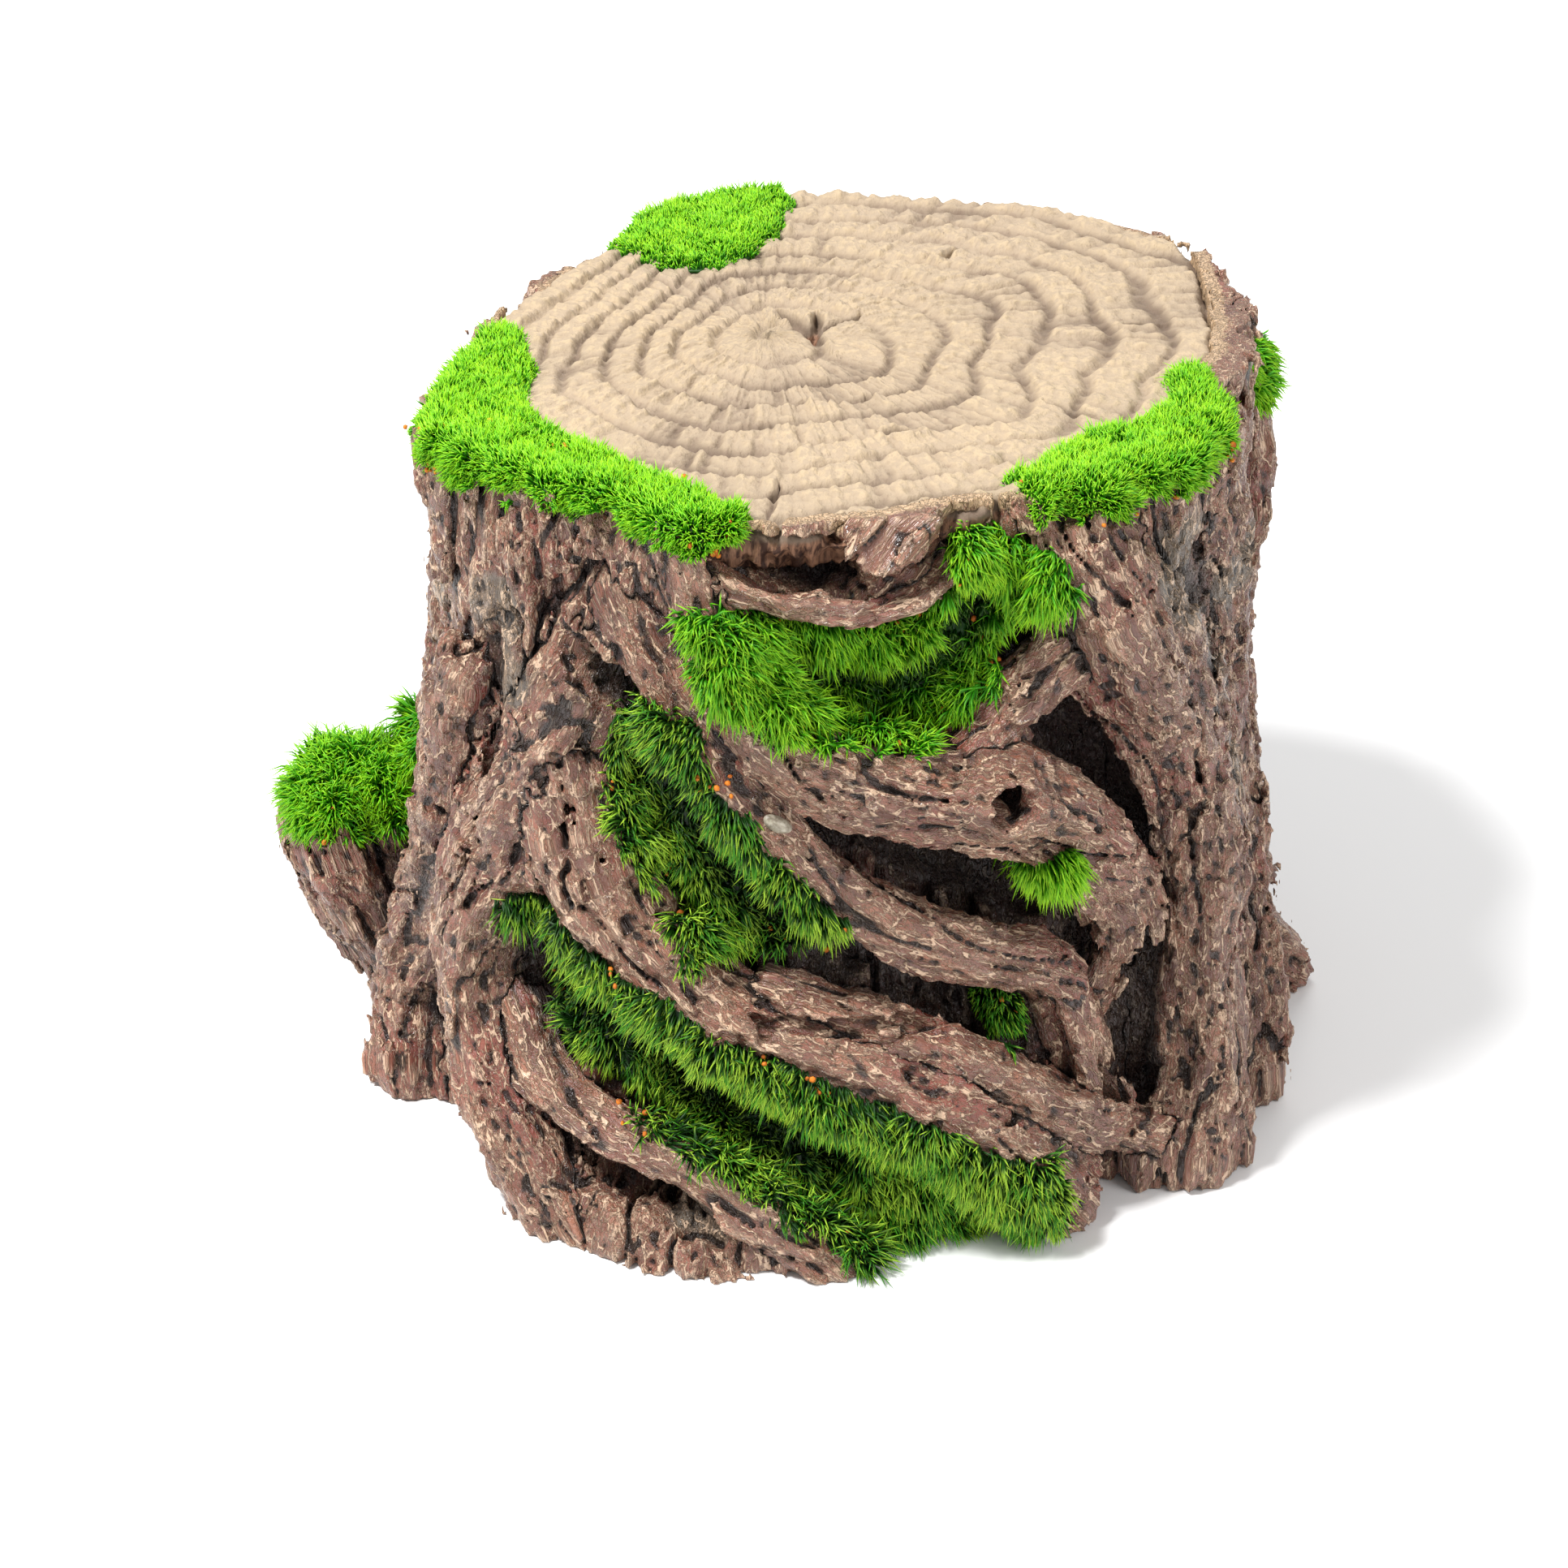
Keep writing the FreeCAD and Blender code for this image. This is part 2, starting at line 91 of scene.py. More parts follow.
def hashed(i, j, k, seed):
    """A number from 0 to 255 for each lattice point."""
    return SHUFFLE[(SHUFFLE[(SHUFFLE[(i + seed * 37) & 255] + j) & 255] + k) & 255]


def noise(x, y, z, seed=0):
    """Smooth gradient noise, about -1 to 1, with features one unit across."""
    x, y, z = np.broadcast_arrays(*(np.asarray(part, np.float32) for part in (x, y, z)))
    whole = [np.floor(part) for part in (x, y, z)]
    i, j, k = (part.astype(np.int32) for part in whole)
    fx, fy, fz = (part - start for part, start in zip((x, y, z), whole))
    ux, uy, uz = (f * f * f * (f * (f * 6 - 15) + 10) for f in (fx, fy, fz))
    total = np.zeros(np.shape(fx), np.float32)
    for a, b, c in CORNERS:
        way = DIRECTIONS[hashed(i + a, j + b, k + c, seed)]
        slope = way[..., 0] * (fx - a) + way[..., 1] * (fy - b) + way[..., 2] * (fz - c)
        total += slope * (ux if a else 1 - ux) * (uy if b else 1 - uy) * (uz if c else 1 - uz)
    return total * 1.6


def smoothstep(low, high, value):
    """0 below one value, 1 above another, and smooth between them."""
    share = np.clip((value - low) / (high - low), 0, 1)
    return share * share * (3 - 2 * share)


def terraces(value, steps, edge=0.25):
    """Turn noise into flat plates with steep edges between them."""
    scaled = value * steps
    floor = np.floor(scaled)
    return (floor + smoothstep(1 - edge, 1, scaled - floor)) / steps


def groove(value, width):
    """Narrow valleys where noise crosses zero, 0 to 1."""
    return np.exp(-(value / width) ** 2)


def bark(grain, seed, strength=1.0):
    """Height of the bark's relief, in coordinates that follow the grain: along, out, side."""
    along, out, side = grain[:, 0], grain[:, 1], grain[:, 2]
    drift = noise(along * 0.06, out * 0.10, side * 0.10, seed)
    lumps = noise(along * 0.07, out * 0.14, side * 0.14, seed + 1)
    furrows = noise(along * 0.03 + drift / 2, out * 0.15, side * 0.15 + drift, seed + 2)
    threads = noise(along * 0.10 + drift, out * 0.36, side * 0.36 + drift, seed + 3)
    plates = terraces(noise(along * 0.20, out * 0.36 + drift, side * 0.36, seed + 4), 3, 0.10)
    chips = terraces(noise(along * 0.50, out * 0.80, side * 0.80 + drift, seed + 5), 3, 0.12)
    crests = groove(noise(along * 0.26 + drift, out * 0.42, side * 0.42, seed + 6), 0.09)
    return strength * (
        0.3 + 0.9 * lumps - 1.7 * groove(furrows, 0.07) - 0.55 * groove(threads, 0.09)
        + 1.3 * plates + 0.75 * chips + 0.45 * crests
    )


# ---------------------------------------------------------------- the trunk's outline

# Trunk radius at three levels: (angle, at the ground, half way up, at the rim).
OUTLINE = [
    (-170, 55, 50, 46), (-150, 57, 53, 57), (-135, 57, 53, 56), (-120, 57, 52, 54),
    (-105, 57, 48, 55), (-90, 57, 47, 51), (-75, 57, 47, 48), (-60, 57, 48, 51),
    (-45, 58, 50, 56), (-30, 58, 52, 53), (-18, 57, 52, 50), (-5, 57, 54, 53),
    (12, 57, 54, 54), (30, 57, 54, 57), (50, 57, 52, 55), (75, 57, 51, 51),
    (100, 57, 50, 51), (118, 56, 49, 48), (135, 55, 47, 42), (155, 54, 48, 41),
    (175, 54, 50, 44),
]
HALF_WAY = 52.0


def outline_radius(angle, height):
    """Radius of the trunk without its roots, for angles in degrees and heights in mm."""
    known = np.array(OUTLINE, float)
    low, middle, high = (
        np.interp(angle, known[:, 0], known[:, column], period=360) for column in (1, 2, 3)
    )
    below = smoothstep(0, HALF_WAY, height)
    above = smoothstep(HALF_WAY, TOP, height)
    return low + (middle - low) * below + (high - middle) * above


def place(angle, height, proud):
    """A point over the trunk's surface."""
    turn = math.radians(angle)
    radius = outline_radius(angle, np.clip(height, 0, TOP)) + proud
    return np.array([
        AXIS[0] + radius * math.cos(turn), AXIS[1] + radius * math.sin(turn), height
    ])


# ---------------------------------------------------------------- roots

# Each root's stations from top to foot: (angle, height, how proud of the trunk, radius).
ROOTS = {
    "upper_root": [
        (-109, 99, -2, 5), (-105, 88, 0, 5), (-102, 78, 3, 5), (-96, 71, 5, 5.5),
        (-88, 67, 5.5, 6), (-78, 64, 6, 6.5), (-67, 61, 6, 7), (-57, 54, 5, 6.5),
        (-48, 43, 3, 6), (-46, 33, 1, 4.5), (-51, 25, -2, 3),
    ],
    "second_root": [
        (-118, 86, -3, 5), (-111, 76, 0, 5), (-103, 66, 4, 4), (-96, 57, 5, 4),
        (-88, 49, 5, 3.6), (-79, 43, 5, 4), (-69, 39, 5, 4.2), (-60, 35, 4, 4),
        (-57, 27, 3, 3.6), (-54, 18, 2, 3), (-50, 11, 0, 3),
    ],
    "third_root": [
        (-132, 71, -5, 8), (-128, 59, -1.5, 8.5), (-122, 48, 1, 7.5), (-113, 39, 3, 6),
        (-104, 33, 4.5, 5), (-94, 29, 4.5, 4.6), (-84, 24, 4, 5), (-74, 18, 3.5, 5.2),
        (-65, 10, 2.5, 5.2), (-60, 3, 2, 5),
    ],
    "third_root_strand": [
        (-98, 35, 2, 3), (-88, 33, 4, 3.2), (-78, 29, 4.5, 3.4), (-68, 23, 4, 3.8),
        (-58, 15, 3, 4), (-48, 9, 2, 4), (-41, 3, 2, 4),
    ],
    "left_inner_root": [
        (-121, 84, -6, 7), (-126, 70, -3, 8), (-133, 56, -0.5, 8.5), (-140, 42, 1, 8),
        (-142, 29, 2, 6.5), (-137, 18, 3, 6), (-130, 9, 4.5, 5.5), (-122.5, 0, 6.5, 5.5),
    ],
    "left_outer_root": [
        (-143, 70, 1, 4.6), (-146, 62, 1, 5.6), (-149, 50, 1, 6), (-153, 38, 1, 6.4),
        (-160, 26, 1, 7), (-165, 13, 2, 7), (-160, 3, 2.5, 7),
    ],
    "lip_root": [
        (-134, 24, 1, 4), (-127, 18, 3, 3.5), (-118, 15, 4, 3.5), (-108, 12, 4, 3.5),
        (-99, 7, 4.5, 3.8), (-90, 0, 5, 4),
    ],
    "shoulder_root": [
        (-54, 87, 0, 3), (-58, 80, 2, 4), (-64, 75, 3, 4.5), (-71, 69, 3, 4.5),
    ],
    "eye_ridge": [
        (-108, 98, 0, 2.6), (-102, 93, 2, 2.4), (-95, 90, 3.5, 2.2), (-87, 89, 4, 2.2),
        (-80, 90, 4, 2.2), (-74, 94, 2.5, 2.4),
    ],
    "front_column_root": [
        (-58, 101, -5, 8), (-55, 91, -3, 8.5), (-50, 80, -1, 9), (-42, 68, 0, 9),
        (-36, 55, 1, 9), (-34, 42, 1, 9), (-36, 29, 1, 8.5), (-37, 16, 1.5, 8.5),
        (-40, 3, 2, 9),
    ],
    "side_column_root": [
        (-32, 101, -6, 8), (-26, 86, -4, 8), (-18, 68, -4, 8), (-14, 50, -4, 8),
        (-13, 32, -3, 8), (-16, 16, -1.5, 8), (-22, 2, 0, 8),
    ],
    "left_column_root": [
        (178, 101, -6, 7), (176, 84, -4, 8), (177, 66, -3, 8), (179, 48, -3, 8),
        (176, 30, -2, 8), (170, 14, 0, 8), (167, 2, 1, 8),
    ],
    "right_column_root": [
        (12, 101, -8, 8), (9, 90, -6, 8), (5, 77, -3, 7), (6, 62, -5.5, 8), (8, 44, -4.5, 8),
        (8, 26, -3, 8), (12, 10, 0, 8), (14, 0, 1, 8),
    ],
    "back_left_root": [
        (150, 101, -5, 7), (146, 88, -2, 7), (148, 70, -1, 7), (144, 50, 0, 7),
        (147, 30, 1, 7), (143, 12, 2, 7), (141, 0, 4, 7),
    ],
    "back_right_root": [
        (42, 101, -5, 7), (38, 88, -2, 7), (34, 70, -1, 7), (38, 50, -1, 7),
        (35, 30, 0, 7), (38, 12, 1, 7), (36, 0, 3, 7),
    ],
    "arch_root": [
        (57, -2, 3, 7), (60, 12, 2, 6), (61, 30, 1.5, 5.5), (68, 46, 1.5, 5.5),
        (80, 56, 2, 5.5), (94, 58, 2, 6), (107, 52, 2, 6), (117, 38, 1.5, 6),
        (120, 20, 1.5, 6.5), (122, 4, 3, 7), (123, -2, 3, 7),
    ],
    "right_toe": [
        (-4, 20, -5, 5), (0, 11, 0, 5.5), (2, 5, 4, 5.5), (3, 2, 8, 4),
    ],
    "eye_knob": [
        (-79, 99, -4, 5.5), (-82, 96.5, -2.5, 7), (-85, 94.5, -2, 6.4), (-87, 93, -2, 4),
    ],
    "branch_stub": [
        (-178, 0, 1, 6), (-178, 9, 4, 7.5), (-178, 18, 8, 9), (-179, 27, 12, 10.5),
    ],
}

# Dark clefts between the roots: stations as above, cut out instead of added.
CLEFTS = [
    [(-104, 72, 1, 1.2), (-97, 64, 3, 1.8), (-91, 58, 3, 2.6), (-85, 54, 2, 2.0)],
    [(-125, 82, 2, 1.2), (-121, 77, 2, 2.8), (-116, 74, 1, 3.8), (-110, 72, 1, 3.2),
     (-106, 70, 2, 1.6)],
    [(-62, 76, 1, 2), (-57, 67, 1, 4.2), (-51, 58, 1, 5.0), (-45, 48, 1, 4.2), (-43, 37, 2, 3.6),
     (-47, 22, 2, 3.6), (-47, 14, 1, 3)],
    [(-103, 97, 2, 2.0), (-98, 95, 1, 3.4), (-92, 94, -0.5, 4.0), (-88, 91.5, 2.5, 2.2),
     (-82, 91.5, 4.5, 1.8), (-77, 94, 3.5, 1.8), (-74, 97, 2, 1.8)],
    [(-58, 30, 2, 1.5), (-55, 22, 3, 2), (-52, 14, 3, 2)],
    [(-84, 54, 1, 2.0), (-76, 50.5, 0.5, 3.2), (-67, 47, 0.5, 3.8), (-60, 43, 0.5, 3.2)],
    [(-119, 11, 4, 1.5), (-111, 7.5, 5, 2.2), (-104, 4, 6, 1.5)],
    [(-136, 66, 3, 1.0), (-138, 54, 4.5, 1.4), (-144, 42, 4, 1.2)],
    [(-128, 69, 2, 0.8), (-126, 64, 3, 1.4), (-122, 55, 4.5, 1.8), (-119, 48, 6, 1.4),
     (-117, 44, 6.5, 0.8)],
    [(-110, 35.5, 6, 0.8), (-100, 33, 7, 1.2), (-88, 33, 7, 1.2), (-78, 32, 5, 1.5)],
]

# Swellings of the trunk itself: its foot under the lip root.
SWELLINGS = [
    [(-121, 1, 4.5, 4.5), (-114, 1, 5, 5), (-106, 1, 5, 5), (-99, 0, 4, 4)],
]


def smooth_path(stations):
    """Stations turned into closely spaced points of a smooth curve, with their radii."""
    known = np.array([[*place(angle, height, proud), radius]
                      for angle, height, proud, radius in stations])
    ends = np.vstack([2 * known[0] - known[1], known, 2 * known[-1] - known[-2]])
    points = []
    for a, b, c, d in zip(ends, ends[1:], ends[2:], ends[3:]):
        count = max(2, int(np.linalg.norm((c - b)[:3]) / 2))
        for share in np.arange(count) / count:
            points.append(0.5 * (
                2 * b + (c - a) * share + (2 * a - 5 * b + 4 * c - d) * share ** 2
                + (3 * b - a - 3 * c + d) * share ** 3
            ))
    points.append(known[-1])
    return np.array(points)


# ---------------------------------------------------------------- the voxel grid

LOW, HIGH = (np.array(corner) / MM for corner in CAD_BOX)
GRID_LOW = np.floor(LOW - MARGIN)
GRID_SIZE = np.ceil((HIGH + MARGIN - GRID_LOW) / VOXEL).astype(int)
FAR = np.float32(MARGIN * 2)


def grid_axis(direction, start=0, stop=None):
    """Grid coordinates along one direction, from one index to another."""
    stop = GRID_SIZE[direction] if stop is None else stop
    return (GRID_LOW[direction] + VOXEL * np.arange(start, stop)).astype(np.float32)


def around_axis():
    """The grid's offsets from the trunk's axis, heights, and distances and angles about it."""
    x, y, z = np.meshgrid(*(grid_axis(n) for n in range(3)), indexing="ij", sparse=True)
    dx, dy = x - AXIS[0], y - AXIS[1]
    return dx, dy, z, np.hypot(dx, dy), np.degrees(np.arctan2(dy, dx))


def grid_box(low, high):
    """First and last indices of the grid box that holds a box of space."""
    first = np.clip(np.floor((low - GRID_LOW) / VOXEL).astype(int), 0, GRID_SIZE)
    last = np.clip(np.ceil((high - GRID_LOW) / VOXEL).astype(int) + 1, 0, GRID_SIZE)
    return first, last


def window(first, last):
    """Slices for a grid box."""
    return tuple(slice(a, b) for a, b in zip(first, last))


def points_at(mask, first=(0, 0, 0)):
    """Places of the voxels that a mask picks."""
    return ((np.argwhere(mask) + np.array(first)) * VOXEL + GRID_LOW).astype(np.float32)


def segment_frame(start, end):
    """Direction along a rod's segment, its outward direction and its sideways one."""
    step = (end - start)[:3]
    length = np.linalg.norm(step)
    along = step / length
    outward = start[:3] - [*AXIS, start[2]]
    outward = outward - along * (outward @ along)
    outward /= np.linalg.norm(outward)
    return length, along, outward, np.cross(along, outward)


def rod_at(points, path):
    """Distance to a tapered rod and its grain coordinates, at any points."""
    best = np.full(len(points), np.inf)
    grain = np.zeros((len(points), 3))
    run = 0.0
    for start, end in zip(path, path[1:]):
        length, along, outward, sideways = segment_frame(start, end)
        offset = points - start[:3]
        share = np.clip(offset @ along / length, 0, 1)
        offset = offset - share[:, None] * along * length
        gap = np.linalg.norm(offset, axis=1) - (start[3] + share * (end[3] - start[3]))
        nearer = gap < best
        best[nearer] = gap[nearer]
        grain[nearer] = np.column_stack([
            run + share * length, offset @ outward, offset @ sideways
        ])[nearer]
        run += length
    return best, grain


def rod_field(path, reach=MARGIN):
    """Distance to a tapered rod on the grid box that holds it."""
    radius = path[:, 3].max() + reach
    first, last = grid_box(path[:, :3].min(0) - radius, path[:, :3].max(0) + radius)
    distance = np.full(tuple(last - first), FAR, np.float32)
    for start, end in zip(path, path[1:]):
        length, along, _, _ = segment_frame(start, end)
        around = max(start[3], end[3]) + reach
        low, high = grid_box(
            np.minimum(start, end)[:3] - around, np.maximum(start, end)[:3] + around
        )
        x, y, z = np.meshgrid(
            *(grid_axis(n, low[n], high[n]) - np.float32(start[n]) for n in range(3)),
            indexing="ij", sparse=True,
        )
        share = np.clip((x * along[0] + y * along[1] + z * along[2]) / length, 0, 1)
        off = share * np.float32(length)
        gap = np.sqrt(
            (x - off * along[0]) ** 2 + (y - off * along[1]) ** 2 + (z - off * along[2]) ** 2
        ) - (start[3] + share * (end[3] - start[3]))
        part = distance[window(low - first, high - first)]
        np.minimum(part, gap, out=part)
    return distance, first, last


def smooth_minimum(a, b, blend):
    """Union of two fields with a fillet where they meet."""
    share = np.maximum(blend - np.abs(a - b), 0) / blend
    return np.minimum(a, b) - share * share * (blend / 4)


# ---------------------------------------------------------------- trunk, cave and cut face

# How far the bark rim reaches in over the cut face: (angle, width). Where it is below
# nothing, the cut face runs out to the edge of the stump.
RIM = [
    (-170, 2.0), (-120, 2.5), (-104, 0.8), (-96, 0.2), (-60, 0.2), (-50, 2.0), (-35, 4.0),
    (-12, 5.5), (4, 4.5), (13, 4.0), (28, 1.5), (40, -0.4), (160, -0.4), (178, 1.0),
]
FACE_DEPTH = 4.5
FACE_DROP = 0.7


def rim_width(angle):
    """How far the bark rim reaches in over the cut face."""
    known = np.array(RIM)
    return np.interp(angle, known[:, 0], known[:, 1], period=360)


def face_edge(angle):
    """Radius of the cut face, with its crumbly edge."""
    rim = rim_width(angle)
    turn = np.radians(angle)
    radius = outline_radius(angle, TOP) - rim
    return (
        radius
        + 0.7 * noise(np.cos(turn) * 9, np.sin(turn) * 9, 0.5, 21)
        + 0.5 * noise(np.cos(turn) * 24, np.sin(turn) * 24, 0.5, 22)
    )


# The trunk's relief is coarser than the roots'.
TRUNK_GRAIN = np.float32(0.78)
# How deep the trunk's relief reaches to both sides, and the fillet round its swellings.
TRUNK_BAND = 3.6
SWELLING_BLEND = np.float32(4.0)
# Corrects distances measured level, because the trunk's side slopes.
FLARE = np.float32(0.98)


def trunk_relief(points):
    """How far the trunk's bark stands out from its outline."""
    folds = noise(points[:, 2] * 0.020, points[:, 0] * 0.11, points[:, 1] * 0.11, 31)
    lip = 0.7 * smoothstep(84, 95, points[:, 2])
    return 1.9 * folds + bark(points[:, [2, 0, 1]] * TRUNK_GRAIN, 40, 1.15) + lip


def trunk_field():
    """Distance to the solid trunk's side with its bark, and to what the cut face leaves."""
    _, _, z, radial, angle = around_axis()
    low, middle, high = (outline_radius(angle, height) for height in (0, HALF_WAY, TOP))
    below = smoothstep(0, HALF_WAY, z)
    above = smoothstep(HALF_WAY, TOP, z)
    side = (radial - low - (middle - low) * below - (high - middle) * above).astype(np.float32)
    side *= FLARE
    for stations in SWELLINGS:
        swelling, first, last = rod_field(smooth_path(stations))
        box = window(first, last)
        side[box] = smooth_minimum(side[box], swelling, SWELLING_BLEND)
    near = np.abs(side) < TRUNK_BAND
    side[near] -= in_parts(trunk_relief, points_at(near))
    recess = np.maximum(radial - face_edge(angle) + 0.2, TOP - FACE_DEPTH - z)
    # The bark stays below the cut face where that runs out to the edge of the stump.
    sunk = 2.5 * np.clip(0.2 - rim_width(angle), 0, 0.6)
    return side, np.maximum(z - TOP + sunk, -recess).astype(np.float32)


# The looks' room is a little smaller than the CAD's, so that no cleft breaks into it.
CAVE_FLOOR = 50.0
CAVE_TAPER = 14 / 80
CAVE_ROOF = 79.0
MOUTH_WIDTH = 42.0
MOUTH_HEIGHT = 46.0
LINING = 1.6


def cave_field():
    """Distance to the room inside, and to the room with its arched mouth at the back."""
    dx, dy, z, radial, _ = around_axis()
    room = np.maximum(radial - (CAVE_FLOOR - CAVE_TAPER * z), z - CAVE_ROOF)
    spring = MOUTH_HEIGHT - MOUTH_WIDTH / 2
    arch = np.hypot(dx, np.maximum(z - spring, 0)) - MOUTH_WIDTH / 2
    room = room.astype(np.float32)
    return room, np.minimum(room, np.maximum(arch, -dy)).astype(np.float32)


ROOT_BLEND = 2.6
CLEFT_BLEND = 0.8

# The knot hole in the upper root: a swollen lip, and a hole into it.
KNOT_LIP = [(-70, 64, 9, 4.4), (-70, 64, 11.5, 3.2)]
KNOT_HOLE = [(-69, 65, 4, 1.8), (-70, 65, 10, 2.0), (-70, 64.5, 17, 3.2)]


def blurred(field, reach):
    """A field smoothed by three box blurs, each that many millimetres to both sides."""
    steps = max(1, int(round(reach / VOXEL)))
    for axis in range(3):
        for _ in range(2):
            padded = np.concatenate([
                np.repeat(field.take([0], axis), steps + 1, axis), field,
                np.repeat(field.take([-1], axis), steps, axis),
            ], axis)
            total = np.cumsum(padded, axis, dtype=np.float32)
            count = field.shape[axis]
            upper = [slice(None)] * 3
            lower = [slice(None)] * 3
            upper[axis] = slice(2 * steps + 1, 2 * steps + 1 + count)
            lower[axis] = slice(0, count)
            field = (total[tuple(upper)] - total[tuple(lower)]) / np.float32(2 * steps + 1)
    return field


def sampled(field, points):
    """A grid field read between its voxels."""
    place_in_grid = np.clip((points - GRID_LOW) / VOXEL, 0, np.array(field.shape) - 1.001)
    cell = place_in_grid.astype(int)
    share = (place_in_grid - cell).astype(np.float32)
    total = np.zeros(len(points), np.float32)
    for corner in CORNERS:
        weight = np.ones(len(points), np.float32)
        for n in range(3):
            weight *= share[:, n] if corner[n] else 1 - share[:, n]
        i, j, k = (cell + corner).T
        total += weight * field[i, j, k]
    return total


def surface(field, first=(0, 0, 0)):
    """Vertices in millimetres and quads of a field's zero surface."""
    grid = openvdb.FloatGrid(float(FAR))
    grid.copyFromArray(np.ascontiguousarray(field, dtype=np.float32))
    points, quads = grid.convertToQuads(isovalue=0.0)
    points = (points + np.array(first)) * VOXEL + GRID_LOW
    points[:, 2] = np.maximum(points[:, 2], 0)
    return points, quads.astype(np.int32)


def root_field(number, stations, side):
    """One root's path and its field, with the root's own relief."""
    path = smooth_path(stations)
    distance, first, last = rod_field(path, MARGIN + 1)
    band = (np.abs(distance) < 3.2) & (side[window(first, last)] > -3)
    _, grain = rod_at(points_at(band, first), coarser(path))
    radius = path[:, 3].mean()
    turn = grain[:, 1:] / np.maximum(np.hypot(grain[:, 1], grain[:, 2]), 0.1)[:, None]
    folds = noise(grain[:, 0] * 0.035, turn[:, 0] * 1.3, turn[:, 1] * 1.3, 90 + number)
    relief = bark(grain, 50 + 9 * number, min(0.85, 0.30 + radius / 14))
    distance[band] -= relief + 0.26 * radius * folds
    return number, path, distance, first, last


def coarser(path):
    """Every third point of a path, and its last."""
    return np.vstack([path[:-1:3], path[-1:]])


def carve_stump():
    """All bark pieces' fields, the whole stump's, and which piece lies nearest where."""
    side, ceiling = trunk_field()
    whole = side.copy()
    nearest = side.copy()
    second = np.full_like(whole, FAR)
    owner = np.zeros(whole.shape, np.int8)
    rods = dict(zip(ROOTS, POOL.map(
        lambda item: root_field(*item, side), enumerate(ROOTS.values(), start=1)
    )))
    for number, path, distance, first, last in rods.values():
        box = window(first, last)
        whole[box] = smooth_minimum(whole[box], distance, np.float32(ROOT_BLEND))
        closer = distance < nearest[box]
        second[box] = np.where(closer, nearest[box], np.minimum(second[box], distance))
        nearest[box][closer] = distance[closer]
        owner[box][closer] = number
    lip, first, last = rod_field(smooth_path(KNOT_LIP))
    box = window(first, last)
    band = np.abs(lip) < 2.2
    points = points_at(band, first)
    lip[band] -= noise(*(points.T * 0.32), 34) + 0.5 * noise(*(points.T * 0.8), 35)
    whole[box] = smooth_minimum(whole[box], lip, np.float32(2 * ROOT_BLEND))
    for number, stations in enumerate(CLEFTS + [KNOT_HOLE]):
        path = smooth_path(stations)
        cleft, first, last = rod_field(path)
        band = np.abs(cleft) < 2.2
        _, grain = rod_at(points_at(band, first), coarser(path))
        cleft[band] += bark(grain, 300 + 9 * number, 0.45)
        box = window(first, last)
        whole[box] = -smooth_minimum(-whole[box], cleft, np.float32(CLEFT_BLEND))
    z = grid_axis(2)
    room, cave = cave_field()
    solid = np.maximum(whole, np.maximum(ceiling, -z))
    whole = np.minimum(whole, np.abs(room) - np.float32(LINING))
    whole = np.maximum(np.maximum(whole, -cave), np.maximum(ceiling, -z))
    return whole, nearest, second, owner, rods, side, solid


# ---------------------------------------------------------------- meshes

def make_mesh(name, points, faces, materials, attributes=None, slots=None):
    """A smooth-shaded object from millimetre points and same-sized faces."""
    mesh = bpy.data.meshes.new(name)
    faces = np.asarray(faces, np.int32)
    corners = faces.shape[1]
    mesh.vertices.add(len(points))
    mesh.vertices.foreach_set("co", (np.asarray(points) * MM).astype(np.float32).ravel())
    mesh.loops.add(faces.size)
    mesh.loops.foreach_set("vertex_index", faces.ravel())
    mesh.polygons.add(len(faces))
    mesh.polygons.foreach_set("loop_start", np.arange(0, faces.size, corners, dtype=np.int32))
    if slots is not None:
        mesh.polygons.foreach_set("material_index", np.asarray(slots, np.int32))
    mesh.update(calc_edges=True)
    mesh.shade_smooth()
    for key, values in (attributes or {}).items():
        values = np.asarray(values, np.float32)
        kind = "FLOAT_VECTOR" if values.ndim == 2 else "FLOAT"
        field = "vector" if values.ndim == 2 else "value"
        layer = mesh.attributes.new(key, kind, "POINT")
        layer.data.foreach_set(field, values.ravel())
    for material in materials:
        mesh.materials.append(material)
    piece = bpy.data.objects.new(name, mesh)
    bpy.context.scene.collection.objects.link(piece)
    return piece


def settle(piece, node):
    """Put a piece on the body, in place of its CAD node."""
    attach(piece, "root")
    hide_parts(node)


# ---------------------------------------------------------------- cut wood face

RINGS = 8.5
RING_CENTRE = AXIS + 8 * np.array([math.cos(math.radians(175)), math.sin(math.radians(175))])
SPOKES = 720
HOOPS = 150

# Radial cracks: (angle, radius, length, width), and the knot in the face.
CRACKS = [(-36, 32, 10, 0.45), (-99, 42, 9, 0.5), (60, 30, 6, 0.3), (-60, 40, 5, 0.35), (8, 38, 6, 0.3)]
PITH_CRACKS = [(128, 9), (35, 8), (-75, 5), (80, 5)]
FACE_KNOT = (-74, 29)


def polar(angle, radius):
    """A level place round the trunk's axis."""
    turn = np.radians(angle)
    return AXIS + radius * np.array([np.cos(turn), np.sin(turn)])


def slit(x, y, start, end, width, depth):
    """Depth of a tapered crack from one place to another."""
    step = end - start
    length = np.linalg.norm(step)
    along = ((x - start[0]) * step[0] + (y - start[1]) * step[1]) / length
    across = ((x - start[0]) * step[1] - (y - start[1]) * step[0]) / length
    wander = 0.5 * noise(x * 0.35, y * 0.35, 3.0, 25)
    share = np.clip(along / length, 0, 1)
    half = width * np.sin(np.pi * np.clip(0.15 + 0.8 * share, 0, 1)) + 0.05
    past = np.maximum(np.maximum(-along, along - length), 0)
    return depth * np.exp(-((across + wander) / half) ** 2 - (past / half) ** 2)


